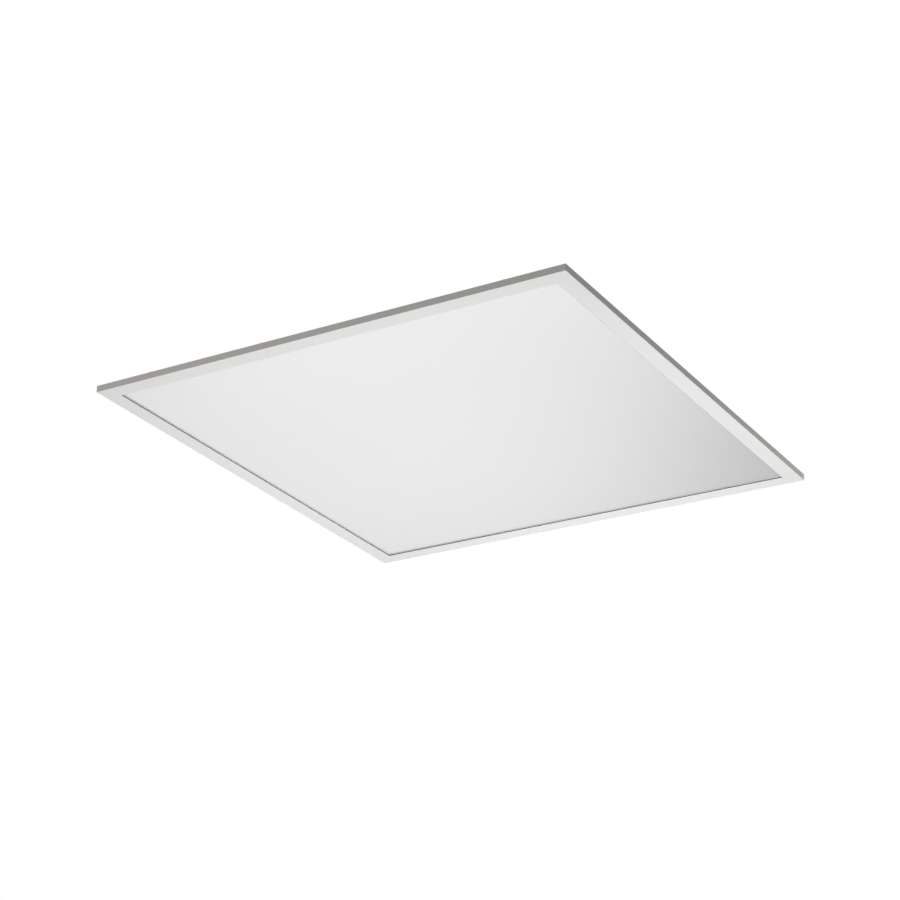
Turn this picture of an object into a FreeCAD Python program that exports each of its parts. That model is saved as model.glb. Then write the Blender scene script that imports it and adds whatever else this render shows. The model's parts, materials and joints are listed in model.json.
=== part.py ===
import FreeCAD, Part
import math
import os

# Flat recessed troffer light that lies in a 600 mm ceiling grid.
# Units are millimetres. Z = 0 is the white face seen from the room, +Z points up into the ceiling void,
# and X = Y = 0 is the middle of the square. "Rear" is +Y, "right" is +X.

# Frame rails
panel_size = 595.0
rail_wall = 1.2
chamber_width = 6.3
chamber_wall = 1.0
lip_reach = 11.5
lip_thickness = 1.5
outer_edge_radius = 0.4
lip_edge_radius = 0.25
rim_edge_radius = 0.3

# Shares that shape every screw and rivet head, and every bend of a wire
recess_reach_share = 0.55
recess_width_share = 0.14
recess_depth_share = 0.5
screw_round_share = 0.55
rivet_round_share = 0.7
wire_arc_share = 0.45

# Layers that lie on the lip, from the room upwards
diffuser_thickness = 1.5
guide_thickness = 3.0
reflector_thickness = 0.3
foam_thickness = 1.0
back_plate_thickness = 0.7
back_plate_gap = 0.3

# Edge lighting
tape_thickness = 0.2
tape_height = 4.4
board_thickness = 0.8
board_height = 5.0
led_depth = 0.7
led_height = 2.4
led_width = 3.5
led_pitch = 9.8
led_end_margin = 8.0
led_gap = 0.5
lead_channel = 6.0
lead_diameter = 1.5
lead_sheath = 0.25
lead_spacing = 1.7
board_end_gap = 0.5
socket_gap = 0.1
socket_depth = 3.6
socket_hole_depth = 2.5
socket_length = 4.4
socket_height = 3.8

# Corner keys and frame screws
key_gap = 0.1
key_arm = 28.0
key_screw_place = 16.0
key_screw_radius = 1.5
key_screw_head_radius = 2.6
key_screw_head_height = 1.2
key_screw_length = 4.6
plate_screw_count = 4
plate_screw_inset = 72.5
plate_screw_radius = 1.5
plate_screw_head_radius = 2.6
plate_screw_head_height = 1.8
plate_screw_length = 3.6
screw_gap = 0.1

# Stiffening beads pressed up out of the back plate
bead_count = 5
bead_hanger_gap = 23.0
bead_front_inset = 92.5
bead_tray_gap = 36.6
bead_width = 18.0
bead_height = 2.0
bead_skin = 0.35

# Hanger brackets
hanger_inset_x = 97.5
hanger_inset_y = 107.5
hanger_sheet = 1.2
hanger_width = 16.0
hanger_foot = 12.0
hanger_rise = 9.0
hanger_bridge = 22.0
hanger_hole_radius = 2.75
bend_radius = 1.0
rivet_radius = 1.6
rivet_head_radius = 3.2
rivet_head_height = 1.0

# Grid clips that swing out over the ceiling bars
ceiling_bar_height = 38.0
clip_inset_x = 41.5
clip_inset_y = 127.5
clip_sheet = 1.2
clip_width = 18.0
clip_riser_place = 39.0
clip_reach = 50.0
clip_bar_gap = 1.5
clip_hole_radius = 2.0
pivot_radius = 2.5
pivot_gap = 0.05
pivot_collar_radius = 5.0
pivot_collar_height = 0.3
pivot_head_radius = 4.6
pivot_head_height = 1.6
pivot_play = 0.15

# Driver tray on the back plate
tray_length = 300.0
tray_width = 88.0
tray_height = 32.0
tray_sheet = 0.8
tray_corner_radius = 1.6
tray_edge_distance = 7.9
tray_rivet_inset = 14.0
boss_radius = 6.0
boss_height = 2.0
knockout_groove = 0.4
knockout_groove_width = 0.8
knockout_web = 3.0

# Cable entry plate that closes the right end of the tray
entry_hole_radius = 10.25
entry_hole_height = 13.4
entry_flange = 10.0
entry_gap = 0.1
entry_rivet_spacing = 12.0
side_rivet_head_radius = 2.56
side_rivet_head_height = 0.5

# Lid with its hinges
lid_gap = 0.4
lid_clearance = 0.2
lid_sheet = 0.8
lid_flange = 5.0
lid_pad_height = 0.6
lid_pad_inset = 12.0
lid_pad_radius = 6.0
knuckle_radius = 2.2
knuckle_length = 8.0
knuckle_gap = 0.2
knuckle_wall_gap = 0.6
hinge_pin_radius = 1.2
hinge_pin_gap = 0.05
hinge_pin_head = 1.8
hinge_inset = 50.0

# Quarter-turn latch in the lid
latch_inset = 20.0
latch_head_radius = 6.0
latch_head_height = 2.0
latch_head_round = 0.6
coin_slot_width = 1.6
coin_slot_depth = 1.2
latch_shank_radius = 2.0
latch_shank_gap = 0.1
latch_washer_radius = 4.0
latch_washer_height = 0.8
latch_wing_reach = 5.0
latch_wing_width = 2.0
latch_wing_height = 1.6
shelf_height = 24.0
shelf_width = 28.0
shelf_reach = 28.0
shelf_tab = 9.0
shelf_slot_length = 14.0
shelf_slot_width = 6.6

# Driver in its metal case
driver_length = 150.0
driver_width = 42.0
driver_height = 24.0
driver_end_distance = 25.0
driver_side_distance = 6.4
driver_sheet = 0.8
driver_gap = 0.2
ear_length = 8.0
ear_width = 18.0
driver_screw_radius = 1.9
driver_screw_head_radius = 3.4
driver_screw_head_height = 2.2
driver_screw_length = 1.5
board_standoff = 3.2
board_standoff_radius = 2.5
circuit_thickness = 1.6
circuit_gap = 1.5
terminal_length = 13.0
terminal_height = 11.4
terminal_pitch = 6.0
terminal_hole_radius = 0.7
terminal_hole_depth = 8.0
terminal_button_inset = 4.0
terminal_button_width = 3.6
terminal_button_depth = 2.2
input_poles = 3
output_poles = 2

# Parts on the driver's circuit board
core_length = 24.0
core_width = 22.0
core_height = 16.0
core_limb = 5.0
winding_gap = 0.3
choke_radius = 7.0
choke_wire = 2.6
choke_flat = 0.26
large_capacitor_radius = 6.25
large_capacitor_height = 17.0
small_capacitor_radius = 4.0
small_capacitor_height = 12.0
small_capacitor_side = 9.0
capacitor_gap = 4.0
capacitor_edge_share = 0.15

# Output selector on top of the driver
selector_place = -20.0
selector_length = 14.0
selector_width = 6.0
selector_rise = 1.2
selector_depth = 4.0
selector_rim = 2.0
selector_travel = 5.0
knob_length = 4.0
knob_width = 2.6
knob_rise = 1.2
knob_gap = 0.15
knob_groove = 0.4
knob_groove_count = 3

# Terminal block with lifting levers
block_length = 30.0
block_height = 15.0
block_pitch = 8.0
block_gap = 37.0
block_hole_radius = 1.1
block_hole_height = 6.0
block_hole_depth = 9.0
block_entry_radius = 1.9
lever_poles = 3
lever_width = 6.0
lever_thickness = 3.4
lever_length = 12.6
lever_gap = 0.4
lever_pivot_radius = 1.1
lever_pivot_reach = 0.9
lever_pivot_inset = 11.5

# Earth screw and its lug
earth_gap = 21.0
earth_place_inset = 20.0
earth_screw_radius = 2.0
earth_screw_head_radius = 3.8
earth_screw_head_height = 2.4
lug_radius = 4.0
lug_thickness = 0.8
lug_barrel_length = 6.0
lug_barrel_radius = 1.7
lug_lead_in = 6.0

# Wires
mains_wire_diameter = 2.4
mains_run_share = 0.32
left_lead_run_share = 0.35
right_lead_run_share = 0.45
grommet_inset = 12.0
grommet_half_length = 4.2
grommet_half_width = 1.9
grommet_flange = 0.7
grommet_flange_height = 1.0
grommet_gap = 0.05
grommet_hole_half_length = 3.1
grommet_hole_half_width = 1.0
lead_pair_spacing = 2.4

# Derived places
half = panel_size / 2
chamber_inner = rail_wall + chamber_width + chamber_wall
face_width = chamber_inner + lip_reach
diffuser_top = lip_thickness + diffuser_thickness
guide_top = diffuser_top + guide_thickness
reflector_top = guide_top + reflector_thickness
chamber_top = reflector_top + foam_thickness
chamber_roof = chamber_top - chamber_wall
frame_height = chamber_top + back_plate_thickness
back_top = frame_height
chamber_middle = rail_wall + chamber_width / 2
inner_face = half - chamber_inner
board_face = inner_face - tape_thickness - board_thickness
guide_half_x = board_face - led_depth - led_gap
guide_half_y = inner_face - lead_channel
light_height = (diffuser_top + guide_top) / 2
channel_middle = inner_face - lead_channel / 2
socket_bottom = lip_thickness + socket_gap
lower_lead = socket_bottom + (socket_height - lead_spacing) / 2
upper_lead = lower_lead + lead_spacing
outer_bead_place = half - hanger_inset_x - hanger_width / 2 - bead_hanger_gap - bead_width / 2
bead_pitch = 2 * outer_bead_place / (bead_count - 1)

tray_left = -tray_length / 2
tray_right = tray_length / 2
tray_rear = half - tray_edge_distance
tray_front = tray_rear - tray_width
tray_middle = (tray_front + tray_rear) / 2
tray_floor = back_top + tray_sheet
entry_z = tray_floor + entry_hole_height
tray_top = back_top + tray_height
lid_bottom = tray_top + lid_clearance
lid_top = lid_bottom + lid_sheet
hinge_x = tray_length / 2 - hinge_inset
hinge_y = tray_front - knuckle_wall_gap - knuckle_radius
hinge_z = lid_top - knuckle_radius
latch_y = tray_rear - latch_inset
shelf_top = tray_floor + shelf_height
boss_top = tray_floor + boss_height
driver_left = tray_left + driver_end_distance
driver_right = driver_left + driver_length
driver_front = tray_front + driver_side_distance
driver_rear = driver_front + driver_width
driver_middle_x = (driver_left + driver_right) / 2
driver_middle_y = (driver_front + driver_rear) / 2
driver_top = boss_top + driver_height
case_floor = boss_top + driver_sheet
circuit_bottom = case_floor + board_standoff
circuit_top = circuit_bottom + circuit_thickness
terminal_hole_z = circuit_top + terminal_height / 2
block_left = driver_right + block_gap
block_right = block_left + block_length
block_width = lever_poles * block_pitch
block_front = driver_middle_y - block_width / 2
block_top = tray_floor + block_height
wire_z = tray_floor + block_hole_height
lever_axis_x = block_right - lever_pivot_inset
lever_axis_z = block_top - lever_thickness / 2 - lever_gap
earth_x = driver_right + earth_gap
earth_y = tray_rear - earth_place_inset
grommet_x = tray_left + grommet_inset
clip_bottom = back_top + pivot_collar_height + pivot_gap
clip_top = ceiling_bar_height + clip_bar_gap + clip_sheet

NODES = {}


def vec(x, y, z):
    """Point or direction."""
    return FreeCAD.Vector(x, y, z)


def block(x0, x1, y0, y1, z0, z1):
    """Rectangular solid between two corners."""
    return Part.makeBox(x1 - x0, y1 - y0, z1 - z0, vec(x0, y0, z0))


def rod(radius, x, y, z0, z1):
    """Upright round bar."""
    return Part.makeCylinder(radius, z1 - z0, vec(x, y, z0), vec(0, 0, 1))


def cross_rod(radius, start, end):
    """Round bar between two points."""
    along = end - start
    return Part.makeCylinder(radius, along.Length, start, along)


def joined(shapes):
    """One solid made of pieces that touch or overlap."""
    whole = shapes[0].fuse(list(shapes[1:])) if len(shapes) > 1 else shapes[0]
    return whole.removeSplitter()


def spread(count, pitch):
    """Evenly spaced places about zero."""
    return [(i - (count - 1) / 2) * pitch for i in range(count)]


def group(shapes):
    """Several separate solids in one node."""
    return Part.makeCompound([solid for shape in shapes for solid in shape.Solids])


def turned(shape, degrees):
    """Copy turned about the upright axis through the middle of the light."""
    copy = shape.copy()
    copy.rotate(vec(0, 0, 0), vec(0, 0, 1), degrees)
    return copy


def moved(shape, x, y, z):
    """Copy shifted by x, y, z."""
    copy = shape.copy()
    copy.translate(vec(x, y, z))
    return copy


def mirrored(shape):
    """Copy on the other side of X = 0."""
    return shape.mirror(vec(0, 0, 0), vec(1, 0, 0))


def both_sides(shape):
    """The shape and its mirror image in one node."""
    return group([shape, mirrored(shape)])


def rounded_edges(points, radii):
    """Straight runs through the points, with a tangent arc at each inner point that has a radius."""
    edges = []
    start = points[0]
    for i in range(1, len(points) - 1):
        radius = radii[i - 1]
        if radius <= 0:
            edges.append(Part.LineSegment(start, points[i]).toShape())
            start = points[i]
            continue
        back = (points[i - 1] - points[i]).normalize()
        ahead = (points[i + 1] - points[i]).normalize()
        half_turn = (math.pi - back.getAngle(ahead)) / 2
        setback = radius * math.tan(half_turn)
        inward = (back + ahead).normalize()
        arc_start = points[i] + back * setback
        arc_middle = points[i] + inward * (radius / math.cos(half_turn) - radius)
        arc_end = points[i] + ahead * setback
        edges.append(Part.LineSegment(start, arc_start).toShape())
        edges.append(Part.Arc(arc_start, arc_middle, arc_end).toShape())
        start = arc_end
    edges.append(Part.LineSegment(start, points[-1]).toShape())
    return edges


def wire_tube(name, points, diameter):
    """Round wire along straight runs joined by tangent arcs that take a fixed share of the shorter run."""
    radii = []
    for i in range(1, len(points) - 1):
        back = points[i - 1] - points[i]
        ahead = points[i + 1] - points[i]
        half_turn = (math.pi - back.getAngle(ahead)) / 2
        radii.append(wire_arc_share * min(back.Length, ahead.Length) / math.tan(half_turn))
    path = Part.Wire(rounded_edges(points, radii))
    along = points[1] - points[0]
    section = Part.Wire(Part.makeCircle(diameter / 2, points[0], along))
    tube = path.makePipeShell([section], True, False)
    expected = math.pi * diameter**2 / 4 * path.Length
    print(
        name, "length %.1f" % path.Length, "radii", ["%.1f" % r for r in radii],
        "volume ratio %.4f" % (tube.Volume / expected),
    )
    return tube


def slot_face(centre_x, centre_y, z, half_length, half_width):
    """Face with straight sides along X and round ends."""
    run = half_length - half_width
    left_front = vec(centre_x - run, centre_y - half_width, z)
    right_front = vec(centre_x + run, centre_y - half_width, z)
    right_end = vec(centre_x + half_length, centre_y, z)
    right_rear = vec(centre_x + run, centre_y + half_width, z)
    left_rear = vec(centre_x - run, centre_y + half_width, z)
    left_end = vec(centre_x - half_length, centre_y, z)
    return Part.Face(
        Part.Wire(
            [
                Part.LineSegment(left_front, right_front).toShape(),
                Part.Arc(right_front, right_end, right_rear).toShape(),
                Part.LineSegment(right_rear, left_rear).toShape(),
                Part.Arc(left_rear, left_end, left_front).toShape(),
            ]
        )
    )


def slot_solid(centre_x, centre_y, z0, z1, half_length, half_width):
    """Upright solid on a slot-shaped face."""
    return slot_face(centre_x, centre_y, z0, half_length, half_width).extrude(vec(0, 0, z1 - z0))


def bent_strip(path, sheet, width, bend):
    """Strip of sheet bent along (distance, height) points on its lower side, centred on Y = 0."""
    flat = [vec(distance, 0, height) for distance, height in path]
    normals = []
    for first, second in zip(flat, flat[1:]):
        along = (second - first).normalize()
        normals.append(vec(-along.z, 0, along.x))
    upper = [flat[0] + normals[0] * sheet]
    lower_radii = []
    upper_radii = []
    for i in range(1, len(flat) - 1):
        before, after = normals[i - 1], normals[i]
        upper.append(flat[i] + (before + after) * (sheet / (1 + before.dot(after))))
        turns_up = before.x * after.z - before.z * after.x > 0
        lower_radii.append(bend + sheet if turns_up else bend)
        upper_radii.append(bend if turns_up else bend + sheet)
    upper.append(flat[-1] + normals[-1] * sheet)
    edges = rounded_edges(flat, lower_radii)
    edges.append(Part.LineSegment(flat[-1], upper[-1]).toShape())
    edges.extend(rounded_edges(upper[::-1], upper_radii[::-1]))
    edges.append(Part.LineSegment(upper[0], flat[0]).toShape())
    side = Part.Face(Part.Wire(Part.__sortEdges__(edges)))
    side.translate(vec(0, -width / 2, 0))
    return side.extrude(vec(0, width, 0))


def cross_recess(x, y, z, head_radius, depth):
    """Cross-shaped tool for the recess in a screw head whose top is at z."""
    reach = head_radius * recess_reach_share
    thin = head_radius * recess_width_share
    return joined(
        [
            block(x - reach, x + reach, y - thin, y + thin, z - depth, z + depth),
            block(x - thin, x + thin, y - reach, y + reach, z - depth, z + depth),
        ]
    )


def pan_screw(x, y, z, radius, head_radius, head_height, length):
    """Pan-head screw whose head rests on z."""
    head = rod(head_radius, x, y, z, z + head_height)
    rim = [edge for edge in head.Edges if abs(edge.BoundBox.ZMin - z - head_height) < 1e-6]
    rim = [edge for edge in rim if edge.BoundBox.ZLength < 1e-6]
    head = head.makeFillet(head_height * screw_round_share, rim)
    screw = joined([head, rod(radius, x, y, z - length, z)])
    return screw.cut(cross_recess(x, y, z + head_height, head_radius, head_height * recess_depth_share))


def countersunk_screw(x, y, z, radius, head_radius, head_height, length):
    """Countersunk screw whose flat head ends at z."""
    cone = Part.makeCone(radius, head_radius, head_height, vec(x, y, z - head_height), vec(0, 0, 1))
    screw = joined([cone, rod(radius, x, y, z - length, z - head_height)])
    return screw.cut(cross_recess(x, y, z, head_radius, head_height * recess_depth_share))


def blind_rivet(x, y, bottom, seat):
    """Low dome rivet: head on the seat height, shank down to bottom."""
    head = rod(rivet_head_radius, x, y, seat, seat + rivet_head_height)
    rim = [edge for edge in head.Edges if edge.BoundBox.ZMin > seat + rivet_head_height / 2]
    head = head.makeFillet(rivet_head_height * rivet_round_share, rim)
    return joined([head, rod(rivet_radius, x, y, bottom, seat)])


def save(name, shape):
    """Keeps one node's shape to be written at the end."""
    NODES[name] = shape


def frame_rail():
    """Front rail: white lip, outer wall and the hollow chamber above the lip, mitred at both ends."""
    outline = [
        vec(0, 0, frame_height / 2),
        vec(0, 0, 0),
        vec(0, face_width, 0),
        vec(0, face_width, lip_thickness),
        vec(0, chamber_inner, lip_thickness),
        vec(0, chamber_inner, chamber_top),
        vec(0, rail_wall, chamber_top),
        vec(0, rail_wall, frame_height),
        vec(0, 0, frame_height),
        vec(0, 0, frame_height / 2),
    ]
    radii = [outer_edge_radius, lip_edge_radius, lip_edge_radius, 0, 0, 0, rim_edge_radius, rim_edge_radius]
    section = Part.Face(Part.Wire(rounded_edges(outline, radii)))
    section.translate(vec(-half, -half, 0))
    rail = section.extrude(vec(panel_size, 0, 0))
    void_front = -half + rail_wall
    rail = rail.cut(block(-half, half, void_front, void_front + chamber_width, lip_thickness, chamber_roof))
    corner = half - face_width
    mitre = Part.Face(
        Part.makePolygon(
            [
                vec(-half, -half, 0),
                vec(half, -half, 0),
                vec(corner, -corner, 0),
                vec(-corner, -corner, 0),
                vec(-half, -half, 0),
            ]
        )
    ).extrude(vec(0, 0, frame_height))
    rail = rail.common(mitre)
    line = -half + chamber_middle
    for place in plate_screw_places():
        rail = rail.cut(rod(plate_screw_radius + screw_gap, place, line, chamber_roof, chamber_top))
    for place in (-half + key_screw_place, half - key_screw_place):
        rail = rail.cut(key_screw_tool(place, line))
    return rail


def plate_screw_places():
    """Places of the back plate's screws along one rail."""
    pitch = (panel_size - 2 * plate_screw_inset) / (plate_screw_count - 1)
    return spread(plate_screw_count, pitch)


def key_screw_tool(x, y):
    """Clearance for one countersunk corner screw."""
    return joined(
        [
            Part.makeCone(
                key_screw_radius + screw_gap,
                key_screw_head_radius + screw_gap,
                key_screw_head_height,
                vec(x, y, chamber_top - key_screw_head_height),
                vec(0, 0, 1),
            ),
            rod(key_screw_radius + screw_gap, x, y, lip_thickness, chamber_top - key_screw_head_height),
        ]
    )


def make_frame():
    """Four rails, four corner keys, and the screws that hold them."""
    rail = frame_rail()
    for name, degrees in (("front", 0), ("right", 90), ("rear", 180), ("left", 270)):
        save("frame_rail_" + name, turned(rail, degrees))
    outer = -half + rail_wall + key_gap
    inner = outer + chamber_width - 2 * key_gap
    bottom = lip_thickness + key_gap
    top = chamber_roof - key_gap
    line = -half + chamber_middle
    place = -half + key_screw_place
    arm_end = -half + key_arm
    key = joined(
        [block(outer, arm_end, outer, inner, bottom, top), block(outer, inner, outer, arm_end, bottom, top)]
    )
    key = key.cut(key_screw_tool(place, line)).cut(key_screw_tool(line, place))
    sizes = (key_screw_radius, key_screw_head_radius, key_screw_head_height, key_screw_length)
    screws = [
        countersunk_screw(place, line, chamber_top, *sizes),
        countersunk_screw(line, place, chamber_top, *sizes),
    ]
    turns = (0, 90, 180, 270)
    save("corner_keys", group([turned(key, degrees) for degrees in turns]))
    save("corner_key_screws", group([turned(screw, degrees) for degrees in turns for screw in screws]))


def make_layers():
    """Diffuser, light guide, reflector sheet and foam pad, stacked on the lip."""
    for name, bottom, top in (
        ("diffuser", lip_thickness, diffuser_top),
        ("light_guide", diffuser_top, guide_top),
        ("reflector_sheet", guide_top, reflector_top),
        ("foam_pad", reflector_top, chamber_top),
    ):
        save(name, block(-guide_half_x, guide_half_x, -guide_half_y, guide_half_y, bottom, top))


def make_lighting():
    """Light boards on the left and right rails, with their tapes, diodes, sockets and leads."""
    board_middle = (lip_thickness + chamber_top) / 2
    board_end = inner_face - board_end_gap
    tape = block(
        inner_face - tape_thickness, inner_face, -board_end, board_end,
        board_middle - tape_height / 2, board_middle + tape_height / 2,
    )
    board = block(
        board_face, board_face + board_thickness, -board_end, board_end,
        board_middle - board_height / 2, board_middle + board_height / 2,
    )
    led_count = int((2 * guide_half_y - 2 * led_end_margin) / led_pitch)
    diodes = []
    for y in spread(led_count, led_pitch):
        diodes.append(
            block(
                board_face - led_depth, board_face, y - led_width / 2, y + led_width / 2,
                light_height - led_height / 2, light_height + led_height / 2,
            )
        )
    socket_face = board_face - socket_depth
    socket = block(
        socket_face, board_face, channel_middle - socket_length / 2, channel_middle + socket_length / 2,
        socket_bottom, socket_bottom + socket_height,
    )
    hole_radius = lead_diameter / 2 - lead_sheath
    for height in (lower_lead, upper_lead):
        entry = vec(socket_face, channel_middle, height)
        socket = socket.cut(cross_rod(hole_radius, entry, entry + vec(socket_hole_depth, 0, 0)))
    save("light_tapes", both_sides(tape))
    save("light_sockets", both_sides(socket))
    for name, shape in (("light_board_", board), ("light_diodes_", group(diodes))):
        save(name + "right", shape)
        save(name + "left", mirrored(shape))
    link_ends = [vec(side * socket_face, channel_middle, lower_lead) for side in (-1, 1)]
    save("light_link_lead", cross_rod(lead_diameter / 2, *link_ends))


def bead(place):
    """Skin of one pressed bead, and the hollow under it."""
    bead_front = -half + bead_front_inset
    bead_rear = tray_front - bead_tray_gap
    middle = (bead_front + bead_rear) / 2
    reach = (bead_rear - bead_front) / 2
    width = bead_width / 2
    shapes = []
    for base, inset in ((back_top, 0.0), (chamber_top, bead_skin)):
        low = slot_face(0, 0, base, reach - inset, width - inset).OuterWire
        high_reach = reach - bead_height - inset
        high = slot_face(0, 0, base + bead_height, high_reach, width - bead_height - inset).OuterWire
        body = Part.makeLoft([low, high], True, True)
        body = turned(body, 90)
        body.translate(vec(place, middle, 0))
        shapes.append(body)
    return shapes


def hanger_places():
    """Middles of the four hanger brackets, with their names."""
    x = half - hanger_inset_x
    y = half - hanger_inset_y
    return (("front_left", -x, -y), ("front_right", x, -y), ("rear_right", x, y), ("rear_left", -x, y))


def clip_places():
    """Pivots of the four grid clips: name, x, y, and the direction along Y in which a stowed clip points."""
    x = half - clip_inset_x
    y = half - clip_inset_y
    return (
        ("front_left", -x, -y, 1),
        ("front_right", x, -y, 1),
        ("rear_right", x, y, -1),
        ("rear_left", -x, y, -1),
    )


def hanger_rivet_reach():
    """Distance of a hanger's rivet from the middle of its bracket."""
    return hanger_bridge / 2 + hanger_foot / 2


def tray_rivet_places():
    """Rivets that hold the tray's floor to the back plate."""
    places = []
    for x in (tray_left + tray_rivet_inset, tray_right - tray_rivet_inset):
        places.append((x, tray_front + tray_rivet_inset))
    places.append((tray_right - tray_rivet_inset, tray_rear - tray_rivet_inset))
    places.append((tray_left + 3 * tray_rivet_inset, tray_rear - tray_rivet_inset))
    return places


def make_back_plate():
    """Back plate with its beads, the screws round its edge, and its rivet and grommet holes."""
    reach = half - rail_wall - back_plate_gap
    plate = block(-reach, reach, -reach, reach, chamber_top, back_top)
    skins = [bead(place) for place in spread(bead_count, bead_pitch)]
    plate = joined([plate] + [skin for skin, _ in skins])
    tools = [hollow for _, hollow in skins]
    line = -half + chamber_middle
    screws = []
    for degrees in (0, 90, 180, 270):
        for place in plate_screw_places():
            hole = rod(plate_screw_radius + screw_gap, place, line, chamber_top, back_top)
            tools.append(turned(hole, degrees))
            screw = pan_screw(
                place, line, back_top, plate_screw_radius, plate_screw_head_radius,
                plate_screw_head_height, plate_screw_length,
            )
            screws.append(turned(screw, degrees))
    for _, x, y in hanger_places():
        for side in (-1, 1):
            place_y = y + side * hanger_rivet_reach()
            tools.append(rod(rivet_radius + screw_gap, x, place_y, chamber_top, back_top))
    for x, y in tray_rivet_places():
        tools.append(rod(rivet_radius + screw_gap, x, y, chamber_top, back_top))
    for _, x, y, _ in clip_places():
        tools.append(rod(pivot_radius + screw_gap, x, y, chamber_top, back_top))
    tools.append(
        slot_solid(grommet_x, channel_middle, chamber_top, back_top, grommet_half_length, grommet_half_width)
    )
    save("back_plate", plate.cut(tools))
    save("back_plate_screws", group(screws))


def make_hangers():
    """Bridge-shaped brackets for support wires, each on two rivets."""
    foot_end = hanger_bridge / 2 + hanger_foot
    wall = hanger_bridge / 2
    path = [
        (-foot_end, 0),
        (-wall, 0),
        (-wall, hanger_rise),
        (wall, hanger_rise),
        (wall, 0),
        (foot_end, 0),
    ]
    bracket = bent_strip(path, hanger_sheet, hanger_width, bend_radius)
    bracket = bracket.cut(rod(hanger_hole_radius, 0, 0, 0, hanger_rise + 2 * hanger_sheet))
    for side in (-1, 1):
        bracket = bracket.cut(rod(rivet_radius + screw_gap, side * hanger_rivet_reach(), 0, 0, hanger_sheet))
    bracket = turned(bracket, 90)
    rivets = []
    for name, x, y in hanger_places():
        save("hanger_bracket_" + name, moved(bracket, x, y, back_top))
        for side in (-1, 1):
            place_y = y + side * hanger_rivet_reach()
            rivets.append(blind_rivet(x, place_y, chamber_top, back_top + hanger_sheet))
    save("hanger_rivets", group(rivets))


def make_grid_clips():
    """Z-shaped clips that lie along the light's edge and swing out over the ceiling bars."""
    path = [
        (-clip_width / 2, clip_bottom),
        (clip_riser_place, clip_bottom),
        (clip_riser_place, clip_top - clip_sheet),
        (clip_reach, clip_top - clip_sheet),
    ]
    clip = bent_strip(path, clip_sheet, clip_width, bend_radius)
    finger_middle = (clip_riser_place + clip_reach) / 2
    clip = clip.cut(rod(pivot_radius + pivot_gap, 0, 0, clip_bottom, clip_bottom + clip_sheet))
    clip = clip.cut(rod(clip_hole_radius, finger_middle, 0, clip_top - clip_sheet, clip_top))
    head_bottom = clip_bottom + clip_sheet + pivot_play
    head_top = head_bottom + pivot_head_height
    pivots = []
    for name, x, y, direction in clip_places():
        save("grid_clip_" + name, moved(turned(clip, 90 * direction), x, y, 0))
        pivot = joined(
            [
                rod(pivot_radius, x, y, chamber_top, head_bottom),
                rod(pivot_collar_radius, x, y, back_top, back_top + pivot_collar_height),
                rod(pivot_head_radius, x, y, head_bottom, head_top),
            ]
        )
        pivots.append(pivot.cut(cross_recess(x, y, head_top, pivot_head_radius, pivot_head_height / 2)))
    save("clip_pivots", group(pivots))


def boss_places():
    """Hollow bosses in the tray's floor: under the driver's two ears and under the earth screw."""
    ear_reach = driver_length / 2 + ear_length / 2
    return (
        (driver_middle_x - ear_reach, driver_middle_y),
        (driver_middle_x + ear_reach, driver_middle_y),
        (earth_x, earth_y),
    )


def knockout(start, end):
    """Ring-shaped groove with two webs, along the way from start to end through a wall."""
    outer = cross_rod(entry_hole_radius, start, end)
    inner = cross_rod(entry_hole_radius - knockout_groove_width, start, end)
    ring = outer.cut(inner)
    low = ring.BoundBox
    webs = block(
        low.XMin - 1 if low.XLength > entry_hole_radius else low.XMin,
        low.XMax + 1 if low.XLength > entry_hole_radius else low.XMax,
        low.YMin, low.YMax,
        low.Center.z - knockout_web / 2, low.Center.z + knockout_web / 2,
    )
    return ring.cut(webs)


def rounded_box(x0, x1, y0, y1, z0, z1, radius):
    """Rectangular solid with its upright edges rounded."""
    body = block(x0, x1, y0, y1, z0, z1)
    upright = [edge for edge in body.Edges if edge.BoundBox.ZLength > (z1 - z0) / 2]
    return body.makeFillet(radius, upright)


def hinge_pieces(body, offsets, radius):
    """Knuckles of both hinges at the given offsets, each joined to body, with the pin's bore cut out."""
    for place in (-hinge_x, hinge_x):
        for offset, web in offsets:
            x = place + offset
            start = vec(x - knuckle_length / 2, hinge_y, hinge_z)
            end = vec(x + knuckle_length / 2, hinge_y, hinge_z)
            body = joined([body, cross_rod(knuckle_radius, start, end), web(start.x, end.x)])
            body = body.cut(cross_rod(radius, start, end))
    return body


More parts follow.
